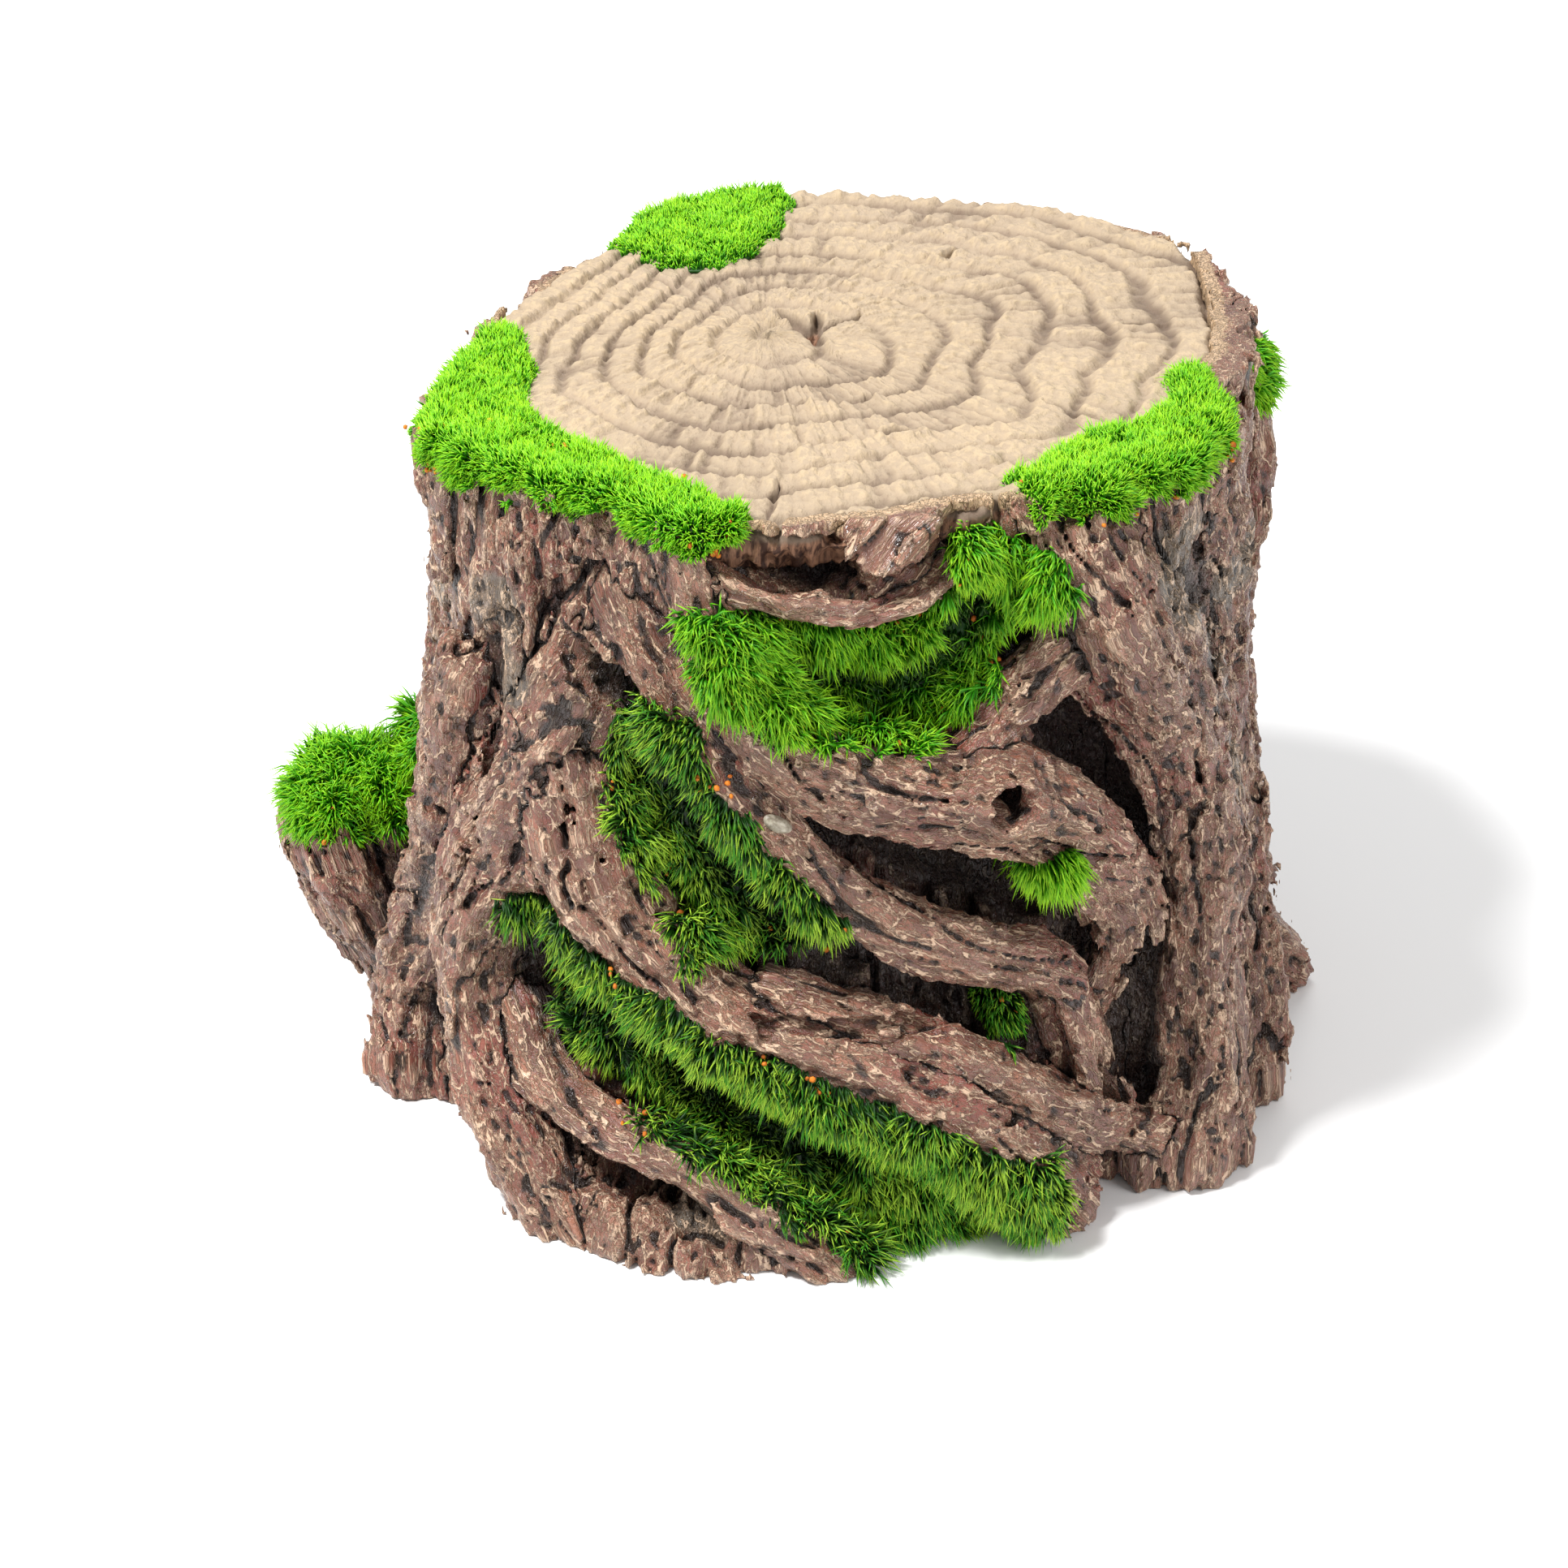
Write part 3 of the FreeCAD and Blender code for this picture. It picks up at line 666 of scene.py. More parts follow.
def face_relief(x, y):
    """Height of the cut face over its mean level."""
    dx, dy = x - RING_CENTRE[0], y - RING_CENTRE[1]
    reach = np.hypot(dx, dy)
    turn = np.arctan2(dy, dx)
    edge_x, edge_y = RING_CENTRE[0] + 60 * np.cos(turn), RING_CENTRE[1] + 60 * np.sin(turn)
    outward = np.degrees(np.arctan2(edge_y - AXIS[1], edge_x - AXIS[0]))
    radius = outline_radius(outward, TOP)
    toward = np.cos(turn - math.radians(175))
    edge = -8 * toward + np.sqrt(np.maximum(radius ** 2 - 64 * (1 - toward ** 2), 1))
    warp = 0.42 * noise(x * 0.055, y * 0.055, 1.0, 26) + 0.16 * noise(x * 0.14, y * 0.14, 1.0, 27)
    phase = RINGS * (reach / edge) + warp + turn / (2 * np.pi)
    ring = np.floor(phase)
    saw = phase - ring
    tread = smoothstep(0.0, 0.22, saw) * (1 - 0.45 * saw) * (1 - smoothstep(0.80, 1.0, saw))
    hoop = (ring + 0.5) / RINGS * 52
    scallop = noise(np.cos(turn) * hoop * 0.50, np.sin(turn) * hoop * 0.50, ring * 3.7, 28)
    notches = noise(np.cos(turn) * hoop * 1.2, np.sin(turn) * hoop * 1.2, ring * 5.1, 29)
    fibre = noise(np.cos(turn) * 34, np.sin(turn) * 34, reach * 0.16, 30)
    crumbs = noise(x * 0.8, y * 0.8, 2.0, 31)
    height = (
        1.2 * tread + 0.8 * scallop * tread - 0.7 * np.abs(notches) * tread
        + 0.32 * fibre * smoothstep(3, 22, reach) + 0.30 * crumbs
        + 0.7 * noise(x * 0.05, y * 0.05, 4.0, 32)
    )
    for angle, start, length, width in CRACKS:
        height -= slit(x, y, polar(angle, start), polar(angle, start + length), width, 1.6)
    for angle, length in PITH_CRACKS:
        way = np.array([math.cos(math.radians(angle)), math.sin(math.radians(angle))])
        pith = polar(128, 4)
        height -= slit(x, y, pith, pith + way * length, 0.7, 2.2)
    pith = polar(128, 4)
    height -= 2.6 * np.exp(-(((x - pith[0]) / 1.6) ** 2 + ((y - pith[1]) / 1.2) ** 2))
    knot = polar(*FACE_KNOT)
    ring_of_knot = np.hypot((x - knot[0]) / 2.4, (y - knot[1]) / 1.3)
    height += 0.7 * np.exp(-((ring_of_knot - 1.25) / 0.35) ** 2) - 2.4 * np.exp(-ring_of_knot ** 2 * 1.6)
    return height


# Rounding of the cut face's edge, and how far below it each row of its side lies. The lip at
# the front is the widest and roughest part of that side.
EDGE_ROUNDING = 1.2
EDGE_DROPS = [0.35, 0.8, 1.2, 1.6, 2.0, 2.4, 2.8, 3.2, 3.6, 4.0, 4.4]


def make_face(materials):
    """The cut face as a closed slab whose rings are modelled, with a crumbly edge."""
    angle = np.linspace(-180, 180, SPOKES, endpoint=False)
    edge = face_edge(angle)
    shares = np.sqrt(np.linspace(0.0004, 1, HOOPS)) * 0.35 + np.linspace(0.02, 1, HOOPS) * 0.65
    shares /= shares[-1]
    share, turn = np.meshgrid(shares, np.radians(angle), indexing="ij")
    x = AXIS[0] + share * edge * np.cos(turn)
    y = AXIS[1] + share * edge * np.sin(turn)
    inset = np.maximum(1 - (1 - share) * edge / EDGE_ROUNDING, 0)
    z = TOP - FACE_DROP - 0.6 + face_relief(x, y) - 1.0 * inset ** 2
    rows = [(x, y, z)]
    east, north = np.cos(turn[-1]), np.sin(turn[-1])
    lip = smoothstep(42, 26, np.abs(angle + 80))
    for drop in EDGE_DROPS:
        chip = noise(east * 15, north * 15, drop * 0.7, 33)
        streaks = noise(east * 30, north * 30, drop * 0.22, 34)
        splits = noise(east * 48, north * 48, drop * 0.9, 35)
        out = edge + 0.35 * min(drop, 1) + (0.6 + 1.1 * lip) * chip - 0.25 * max(drop - 1, 0)
        out += smoothstep(0.8, 2.4, drop) * (1.5 * streaks + 0.7 * splits) * (0.35 + 0.65 * lip)
        out += 1.1 * lip * math.sin(math.pi * min(drop / 3, 1))
        low = z[-1] - drop * (1 + 0.15 * lip) + (0.3 + 0.9 * lip) * chip
        rows.append(((AXIS[0] + out * east)[None], (AXIS[1] + out * north)[None], low[None]))
    under = edge - 2
    bottom = TOP - FACE_DEPTH - 0.4
    rows.append((
        (AXIS[0] + under * east)[None], (AXIS[1] + under * north)[None],
        np.full((1, SPOKES), bottom),
    ))
    points = np.stack([np.concatenate([row[n] for row in rows]) for n in range(3)], -1)
    points = points.reshape(-1, 3)
    count = len(points)
    points = np.vstack([points, [*AXIS, z[0].mean()], [*AXIS, bottom]])
    index = np.arange(count).reshape(-1, SPOKES)
    across = np.roll(index, -1, 1)
    quads = np.stack([index[:-1], index[1:], across[1:], across[:-1]], -1).reshape(-1, 4)
    triangles = np.vstack([
        np.column_stack([np.full(SPOKES, count), index[0], across[0]]),
        np.column_stack([np.full(SPOKES, count + 1), across[-1], index[-1]]),
        quads[:, [0, 1, 2]], quads[:, [0, 2, 3]],
    ])
    level = np.clip((points[:, 2] - TOP + FACE_DROP + 0.6) / 1.6, -1, 1)
    offset = points[:, :2] - RING_CENTRE
    reach = np.hypot(offset[:, 0], offset[:, 1])
    way = offset / np.maximum(reach, 0.1)[:, None]
    piece = make_mesh("cut_wood_face_looks", points, triangles, materials, {
        "level": level,
        "grain": np.column_stack([way * (6 + 0.6 * reach)[:, None], reach * 0.16]),
    })
    settle(piece, "cut_wood_face")


# ---------------------------------------------------------------- moss

# Outlines on the side: (angle, height). Outlines on the cut face: (angle, radius).
SIDE_MOSS = {
    "moss_swag": [
        (-108, 90), (-103, 91.5), (-98, 89.5), (-92, 87), (-85, 86), (-79, 87), (-74, 91),
        (-76, 94), (-73, 97), (-68, 97), (-62, 94), (-60, 89), (-63, 84), (-67, 83),
        (-67, 78), (-72, 72), (-79, 69.5), (-88, 71.5), (-97, 75), (-103, 78), (-107, 82),
        (-106, 85),
    ],
    "moss_middle": [
        (-119, 73), (-113, 77), (-106, 74), (-104, 67), (-100, 61), (-95, 55), (-88, 47),
        (-89, 42), (-99, 38), (-108, 40), (-112, 47), (-116, 52), (-119, 58), (-121, 66),
    ],
    "moss_channel": [
        (-134, 45), (-128, 45), (-122, 42), (-116, 39), (-109, 37), (-102, 32), (-92, 28),
        (-80, 22), (-72, 17), (-64, 13), (-62, 5), (-64, 0), (-75, -1), (-87, 0), (-92, 5),
        (-97, 9), (-103, 13), (-112, 16), (-121, 20), (-128, 26), (-134, 34),
    ],
    "moss_tuft_upper": [(-65, 54), (-62, 56), (-59, 54), (-60, 50), (-64, 50)],
    "moss_tuft_lower": [(-70, 31), (-66, 33), (-62, 30), (-63, 26), (-68, 26)],
    "moss_right_side": [(-1, 97), (7, 97), (9, 91), (4, 88), (-1, 91)],
}
TOP_MOSS = {
    "moss_top_left": [
        (173, 43), (-176, 46), (-163, 51), (-154, 56), (-146, 60), (-135, 59), (-128, 57),
        (-120, 57), (-111, 58), (-105, 60), (-100, 58), (-100, 52), (-106, 49), (-112, 46),
        (-120, 45), (-131, 43), (-143, 44), (-155, 41), (-166, 38), (178, 39),
    ],
    "moss_top_back": [
        (134, 43), (124, 48), (115, 51), (106, 52), (97, 52), (95, 47), (98, 40), (102, 33),
        (110, 30), (122, 27), (133, 32),
    ],
    "moss_top_right": [
        (-66, 46), (-58, 44), (-48, 42), (-37, 44), (-27, 46), (-17, 43), (-12, 47),
        (-20, 51), (-30, 56), (-40, 61), (-48, 62), (-56, 60), (-64, 56),
    ],
}
# Moss on the broken top of the stub: (x, y) from the stub's top middle.
STUB_MOSS = [(-12, -8), (-4, -11), (6, -9), (12, -3), (12, 6), (4, 11), (-6, 10), (-12, 3)]

# Fibre length, fibres per square millimetre, and how bright the green is, from deep green
# at 0 to lime at 1.
MOSS_LOOKS = {
    "moss_swag": (4.6, 5.5, 0.80), "moss_middle": (4.4, 5, 0.15),
    "moss_channel": (4.8, 5, 0.12), "moss_tuft_upper": (5.4, 7, 0.9),
    "moss_tuft_lower": (4.2, 6, 0.15), "moss_right_side": (3.2, 9, 1.0),
    "moss_top_left": (2.7, 13, 1.0), "moss_top_back": (2.4, 13, 0.9),
    "moss_top_right": (2.8, 13, 0.9), "moss_stub_cap": (4.4, 6, 1.0),
}
# Gaps between rows of tufts, where the fibres stay short and sparse and are darkened by painted shade:
# width, then (angle, height).
MOSS_GAPS = {
    "moss_swag": (4.0, [(-99, 82), (-92, 78.5), (-84, 77), (-78, 78.5), (-73, 83), (-70, 88)]),
    "moss_middle": (8.0, [(-112, 67), (-107, 60), (-102, 52), (-97, 47), (-92, 45)]),
    "moss_channel": (6.5, [(-134, 37), (-126, 33), (-117, 29), (-108, 24), (-99, 19), (-91, 15)]),
}


def gap_share(name, points):
    """1 in the middle of a patch's dark gap, falling to 0 beside it."""
    if name not in MOSS_GAPS:
        return np.zeros(len(points))
    width, stations = MOSS_GAPS[name]
    line = np.array([place(angle, height, 1) for angle, height in stations])
    best = np.full(len(points), np.inf)
    for start, end in zip(line, line[1:]):
        step = end - start
        share = np.clip((points - start) @ step / (step @ step), 0, 1)
        best = np.minimum(best, np.linalg.norm(points - start - share[:, None] * step, axis=1))
    return 1 - smoothstep(0.35 * width, width, best)


def inside(u, v, outline):
    """Signed distance to an outline, positive inside it."""
    corners = np.asarray(outline, float)
    distance = np.full(np.shape(u), np.inf)
    within = np.zeros(np.shape(u), bool)
    for (ax, ay), (bx, by) in zip(corners, np.roll(corners, -1, 0)):
        ex, ey = bx - ax, by - ay
        share = np.clip(((u - ax) * ex + (v - ay) * ey) / (ex * ex + ey * ey), 0, 1)
        gap = np.hypot(u - ax - share * ex, v - ay - share * ey)
        distance = np.minimum(distance, gap)
        crosses = (ay > v) != (by > v)
        with np.errstate(divide="ignore", invalid="ignore"):
            at = ax + (v - ay) / np.where(by == ay, 1e-9, by - ay) * ex
        within ^= crosses & (u < at)
    return np.where(within, distance, -distance)


# Length of one degree on the trunk, in millimetres.
ARC = 0.95
STUB_TOP = place(-179, 27, 12)


def moss_share(name, points):
    """Signed distance, in millimetres, inside a moss patch's outline."""
    dx, dy = points[:, 0] - AXIS[0], points[:, 1] - AXIS[1]
    ragged = 1.3 * noise(*(points.T * 0.28), 61) + 0.7 * noise(*(points.T * 0.8), 62)
    if name == "moss_stub_cap":
        share = inside(points[:, 0] - STUB_TOP[0], points[:, 1] - STUB_TOP[1], STUB_MOSS)
        share = np.minimum(share, (points[:, 2] - STUB_TOP[2] - 4.0) * 1.2)
        return share + 0.6 * ragged
    angle = np.degrees(np.arctan2(dy, dx))
    if name in TOP_MOSS:
        share = inside(*points[:, :2].T, [polar(*corner) for corner in TOP_MOSS[name]])
        return np.minimum(share + 0.5 * ragged, points[:, 2] - (TOP - 2.6) + 1.1 * ragged)
    flat = [(turn * ARC, height) for turn, height in SIDE_MOSS[name]]
    share = inside(angle * ARC, points[:, 2], flat)
    outside_cave = np.hypot(dx, dy) > 38
    return np.where(outside_cave, share, -9) + 0.5 * ragged


def moss_base(name, full):
    """The glued pad under a patch's fibres: vertices and quads."""
    corners = moss_corners(name)
    first, last = grid_box(corners.min(0) - 3, corners.max(0) + 3)
    part = full[window(first, last)]
    band = np.abs(part) < 2.4
    points = points_at(band, first)
    depth = moss_share(name, points)
    thick = np.clip(0.35 * depth - 0.35, -1.0, 0.6) + 0.3 * noise(*(points.T * 0.35), 63)
    pad = np.full(part.shape, FAR, np.float32)
    pad[band] = np.maximum(part[band] - thick, -part[band] - 0.7)
    return surface(pad, first)


def moss_corners(name):
    """Places on the trunk at an outline's corners."""
    if name == "moss_stub_cap":
        return np.array([[STUB_TOP[0] + x, STUB_TOP[1] + y, z]
                         for x, y in STUB_MOSS for z in (STUB_TOP[2] - 4, STUB_TOP[2] + 13)])
    if name in TOP_MOSS:
        return np.array([[*polar(*corner), z]
                         for corner in TOP_MOSS[name] for z in (TOP - 6, TOP + 2)])
    return np.array([place(angle, height, proud)
                     for angle, height in SIDE_MOSS[name] for proud in (-8, 11)])


def unit(vectors):
    """Vectors scaled to a length of one."""
    return vectors / np.maximum(np.linalg.norm(vectors, axis=1), 1e-9)[:, None]


def slope_of(field, points, reach=0.9):
    """Outward direction of a field at some points."""
    steps = np.eye(3) * reach
    return unit(np.column_stack([
        sampled(field, points + step) - sampled(field, points - step) for step in steps
    ]))


# How fibres stand on the cut face and on the side: fibres in a tuft, how far a whole tuft is
# tilted, the share of strays, how far single fibres spread, lean out of their tuft, droop and
# sag at the tip, and how thick they are.
ON_TOP = SimpleNamespace(
    per_tuft=60, tilt=0.14, strays=0.04, spread=0.26, lean=0.25, droop=0.05, sag=0.20, thick=1.0)
ON_SIDE = SimpleNamespace(
    per_tuft=80, tilt=0.42, strays=0.12, spread=0.36, lean=0.55, droop=0.45, sag=0.55, thick=1.35)
STRAY_SPREAD = 0.70
DOWN = np.array([0, 0, -1.0])
# How wide a tuft is, in millimetres, where its fibres lean out fully.
TUFT, LONE_TUFT = 2.4, 1.2


def fibre_roots(name, base_points, full, random):
    """Places on the pad where fibres grow, and how deep in a dark gap each one is."""
    density = MOSS_LOOKS[name][1]
    depth = moss_share(name, base_points)
    level = sampled(full, base_points)
    rooted = base_points[(depth > 0.3) & (np.abs(level - 0.5) < 1.0)]
    count = int(len(rooted) * VOXEL ** 2 * density * (1.0))
    picked = random.integers(0, len(rooted), count)
    roots = rooted[picked] + random.uniform(-0.5, 0.5, (count, 3)) * VOXEL
    gap = gap_share(name, roots)
    kept = random.random(count) > 0.55 * gap
    return roots[kept], gap[kept]


def blades(roots, middle, tip, side, other, thick):
    """Tapered three-sided blades: vertices and triangles."""
    rings = []
    for centre, width in ((roots, 1.0), (middle, 0.85)):
        for turn in (0, 2 * math.pi / 3, 4 * math.pi / 3):
            rings.append(centre + (side * math.cos(turn) + other * math.sin(turn))
                         * (thick * width)[:, None])
    points = np.stack([*rings, tip], 1).reshape(-1, 3)
    points[:, 2] = np.maximum(points[:, 2], 0)
    triangles = np.array([
        (2, 1, 0), (0, 1, 4), (0, 4, 3), (1, 2, 5), (1, 5, 4), (2, 0, 3), (2, 3, 5),
        (3, 4, 6), (4, 5, 6), (5, 3, 6),
    ])
    return points, (triangles[None] + 7 * np.arange(len(roots))[:, None, None]).reshape(-1, 3)


def fibres(name, base_points, full, soft, random):
    """Curved tapered fibres that grow out of a pad: vertices, triangles and attributes."""
    look = ON_TOP if name in TOP_MOSS else ON_SIDE
    lone = "tuft" in name
    roots, gap = fibre_roots(name, base_points, full, random)
    count = len(roots)
    depth = moss_share(name, roots)
    normal = unit(slope_of(full, roots) + 0.9 * slope_of(soft, roots, 2.0))
    tufts = roots[random.integers(0, count, max(3, count // look.per_tuft))]
    if lone:
        tufts = roots.mean(0, keepdims=True)
    home = nearest_of(roots, tufts)
    lean = (roots - tufts[home]) / (LONE_TUFT if lone else TUFT)
    tilt = random.normal(size=(len(tufts), 3)) * look.tilt
    stray = random.random(count) < look.strays
    spread = np.where(stray, STRAY_SPREAD, look.spread)[:, None]
    heading = unit(
        normal + look.lean * lean + tilt[home] + look.droop * DOWN
        + random.normal(size=(count, 3)) * spread
    )
    bend = unit(heading + look.sag * DOWN + random.normal(size=(count, 3)) * 0.22)

    tall = MOSS_LOOKS[name][0] * random.uniform(0.60, 1.08, count)
    tall *= 0.55 + 0.45 * smoothstep(0, 2.0, depth)
    tall *= 0.72 + 0.45 * random.random(len(tufts))[home]
    if name == "moss_stub_cap":
        tall *= np.clip(1.25 - 0.22 * np.linalg.norm(roots - tufts[home], axis=1), 0.4, 1.25)
    tall *= (1 - 0.62 * gap) * np.where(stray, 1.2, 1.0)
    room = sampled(full, roots + heading * tall[:, None] * 0.8)
    tall *= np.clip(0.55 + room / 3.5, 0.35, 1.0)
    middle = roots + heading * tall[:, None] * 0.55
    tip = middle + bend * tall[:, None] * 0.45
    middle[:, 2] = np.maximum(middle[:, 2], 0.3)
    tip[:, 2] = np.maximum(tip[:, 2], 0.15)

    side = unit(np.cross(heading, random.normal(size=(count, 3))))
    thick = random.uniform(0.10, 0.15, count) * look.thick
    sunk = roots - heading * 0.35
    points, faces = blades(sunk, middle, tip, side, np.cross(heading, side), thick)
    up = np.tile([0, 0, 0, 0.55, 0.55, 0.55, 1.0], count)
    # Painted shade: fibres in hollows and in the gaps between tufts darken.
    deep = np.maximum(np.clip(-sampled(soft, roots) / 2.0, 0, 0.8), gap * 0.95)
    tint = 0.6 * random.random(count) + 0.4 * random.random(len(tufts))[home]
    return points, faces, up, np.repeat(tint, 7), np.repeat(deep, 7)


def nearest_of(points, marks):
    """Index of the mark nearest to each point."""
    best = np.full(len(points), np.inf)
    home = np.zeros(len(points), int)
    for number, mark in enumerate(marks):
        gap = ((points - mark) ** 2).sum(1)
        nearer = gap < best
        best[nearer] = gap[nearer]
        home[nearer] = number
    return home


# A rough ball: two poles and two staggered rings of five corners.
BALL = np.array([(0, 0, 1), (0, 0, -1)] + [
    (math.cos(turn + lift) * math.cos(tilt), math.sin(turn + lift) * math.cos(tilt), math.sin(tilt))
    for tilt, lift in ((0.5, 0), (-0.5, 0.63))
    for turn in np.arange(5) * 2 * math.pi / 5
])
BALL_FACES = np.array([
    face for n in range(5) for m in [(n + 1) % 5] for face in (
        (0, 2 + n, 2 + m), (2 + n, 7 + n, 2 + m), (2 + m, 7 + n, 7 + m), (1, 7 + m, 7 + n)
    )
])
# Square millimetres of a patch's edge to one cluster of granules.
CLUSTER_AREA = 60


def granules(name, base_points, full, random):
    """Brown crumbs in clusters along a patch's edges: vertices and triangles."""
    depth = moss_share(name, base_points)
    edge = base_points[(depth > -0.4) & (depth < 2.4) & (sampled(full, base_points) > -0.2)]
    if name in TOP_MOSS:
        edge = edge[edge[:, 1] < AXIS[1] - 20]
    points, faces = [np.zeros((0, 3))], [np.zeros((0, 3), int)]
    for _ in range(int(len(edge) * VOXEL ** 2 / CLUSTER_AREA)):
        heart = edge[random.integers(0, len(edge))]
        normal = slope_of(full, heart[None])[0]
        for _ in range(random.integers(2, 7)):
            spot = heart + random.normal(size=3) * 1.1
            for _ in range(3):
                spot -= normal * sampled(full, spot[None])[0]
                normal = slope_of(full, spot[None])[0]
            astray = np.linalg.norm(spot - heart) > 4
            if astray or abs(sampled(full, spot[None])[0]) > 0.4:
                continue
            spot += normal * random.uniform(0.5, 1.5)
            spot[2] = max(spot[2], 0.8)
            stretch = random.uniform(0.28, 0.46) * random.uniform(0.7, 1.2, 3)
            faces.append(BALL_FACES + len(BALL) * (len(points) - 1))
            points.append(spot + BALL * stretch * random.uniform(0.85, 1.15, (12, 1)))
    return np.vstack(points), np.vstack(faces)


def moss_shape(name, full, soft):
    """A moss patch's vertices, triangles, attributes and material slots."""
    random = np.random.default_rng(200 + list(MOSS_LOOKS).index(name))
    pad_points, pad_quads = moss_base(name, full)
    pad_faces = np.vstack([pad_quads[:, [0, 1, 2]], pad_quads[:, [0, 2, 3]]])
    blades, blade_faces, up, tint, deep = fibres(name, pad_points, full, soft, random)
    crumbs, crumb_faces = granules(name, pad_points, full, random)
    points = np.vstack([pad_points, blades, crumbs])
    faces = np.vstack([
        pad_faces, blade_faces + len(pad_points),
        crumb_faces + len(pad_points) + len(blades),
    ])
    slots = np.repeat([0, 0, 1], [len(pad_faces), len(blade_faces), len(crumb_faces)])
    pad_zero = np.zeros(len(pad_points))
    crumb_zero = np.zeros(len(crumbs))
    bright = MOSS_LOOKS[name][2]
    return points, faces, {
        "up": np.concatenate([pad_zero - 0.2, up, crumb_zero]),
        "tint": np.concatenate([pad_zero + 0.3, tint, crumb_zero]),
        # Painted shade on fibres in hollows and tuft gaps; the pad gets a fixed 0.4 of the same
        # darkening.
        "deep": np.concatenate([pad_zero + 0.4, deep, crumb_zero]),
        "bright": bright * np.concatenate([pad_zero + 0.3, up * 0 + 1, crumb_zero]),
    }, slots


def make_moss(full, soft, materials):
    """Every moss patch as one piece: pad, fibres and granules."""
    shapes = POOL.map(lambda name: moss_shape(name, full, soft), MOSS_LOOKS)
    for name, (points, faces, attributes, slots) in zip(MOSS_LOOKS, shapes):
        piece = make_mesh(f"{name}_looks", points, faces, materials, attributes, slots)
        settle(piece, name)


# ---------------------------------------------------------------- materials

class Nodes:
    """A short way to write a material's nodes."""

    def __init__(self, name):
        self.material = bpy.data.materials.new(name)
        self.material.use_nodes = True
        self.tree = self.material.node_tree
        self.shader = self.tree.nodes["Principled BSDF"]

    def put(self, socket, value):
        """Link a socket, or give it a constant."""
        if isinstance(value, bpy.types.NodeSocket):
            self.tree.links.new(value, socket)
        elif value is not None:
            socket.default_value = value

    def object_place(self):
        """The place on the object, in metres."""
        return self.tree.nodes.new("ShaderNodeTexCoord").outputs["Object"]

    def attribute(self, name, vector=False):
        """A named value stored on the mesh."""
        node = self.tree.nodes.new("ShaderNodeAttribute")
        node.attribute_name = name
        return node.outputs["Vector" if vector else "Fac"]

    def noise(self, vector, scale, detail=3.0, roughness=0.55, distortion=0.0):
        """Cloudy noise from 0 to 1."""
        node = self.tree.nodes.new("ShaderNodeTexNoise")
        self.put(node.inputs["Vector"], vector)
        node.inputs["Scale"].default_value = scale
        node.inputs["Detail"].default_value = detail
        node.inputs["Roughness"].default_value = roughness
        node.inputs["Distortion"].default_value = distortion
        return node.outputs["Fac"]

    def cells(self, vector, scale):
        """Distance to the nearest border between cells, and a level for each cell."""
        borders = self.tree.nodes.new("ShaderNodeTexVoronoi")
        borders.feature = "DISTANCE_TO_EDGE"
        levels = self.tree.nodes.new("ShaderNodeTexVoronoi")
        for node in (borders, levels):
            self.put(node.inputs["Vector"], vector)
            node.inputs["Scale"].default_value = scale
        return borders.outputs["Distance"], levels.outputs["Color"]

    def warped(self, vector, scale, amount):
        """Coordinates pushed about by noise."""
        node = self.tree.nodes.new("ShaderNodeTexNoise")
        self.put(node.inputs["Vector"], vector)
        node.inputs["Scale"].default_value = scale
        push = self.vector("SUBTRACT", node.outputs["Color"], (0.5, 0.5, 0.5))
        return self.vector("ADD", vector, self.vector("SCALE", push, scale=amount))

    def math(self, operation, a, b):
        """Arithmetic on two values."""
        node = self.tree.nodes.new("ShaderNodeMath")
        node.operation = operation
        self.put(node.inputs[0], a)
        self.put(node.inputs[1], b)
        return node.outputs[0]

    def times(self, a, b):
        """The product of two values."""
        return self.math("MULTIPLY", a, b)

    def plus(self, a, b, share=1.0):
        """a, and a share of b."""
        return self.math("ADD", a, b if share == 1.0 else self.times(b, share))

    def larger(self, a, b):
        """The larger of two values."""
        return self.math("MAXIMUM", a, b)

    def wobble(self, value, amount):
        """Noise turned into a push to both sides of nothing."""
        return self.times(self.math("SUBTRACT", value, 0.5), amount)

    def rim(self, value, level, width):
        """1 on a thin line where a value passes a level, fading out past it."""
        inner = self.ramp(value, level, level + 0.3 * width)
        return self.times(inner, self.ramp(value, level + width, level + 0.5 * width))

    def vector(self, operation, a, b=None, scale=None):
        """Arithmetic on vectors."""
        node = self.tree.nodes.new("ShaderNodeVectorMath")
        node.operation = operation
        self.put(node.inputs[0], a)
        self.put(node.inputs[1], b)
        if scale is not None:
            node.inputs[3].default_value = scale
        return node.outputs[0]

    def ramp(self, value, low, high, out_low=0.0, out_high=1.0):
        """A value's range turned smoothly into another."""
        node = self.tree.nodes.new("ShaderNodeMapRange")
        node.interpolation_type = "SMOOTHSTEP"
        self.put(node.inputs["Value"], value)
        for name, number in (("From Min", low), ("From Max", high),
                             ("To Min", out_low), ("To Max", out_high)):
            node.inputs[name].default_value = number
        return node.outputs["Result"]

    def mix(self, share, a, b, blend="MIX"):
        """Colour a with a share of colour b."""
        node = self.tree.nodes.new("ShaderNodeMix")
        node.data_type = "RGBA"
        node.blend_type = blend
        self.put(node.inputs["Factor"], share)
        self.put(node.inputs["A"], a)
        self.put(node.inputs["B"], b)
        return node.outputs["Result"]

    def bump(self, height, distance, strength=1.0, below=None):
        """Shading relief from a height, on top of the relief below."""
        node = self.tree.nodes.new("ShaderNodeBump")
        self.put(node.inputs["Height"], height)
        node.inputs["Distance"].default_value = distance
        node.inputs["Strength"].default_value = strength
        self.put(node.inputs["Normal"], below)
        return node.outputs["Normal"]

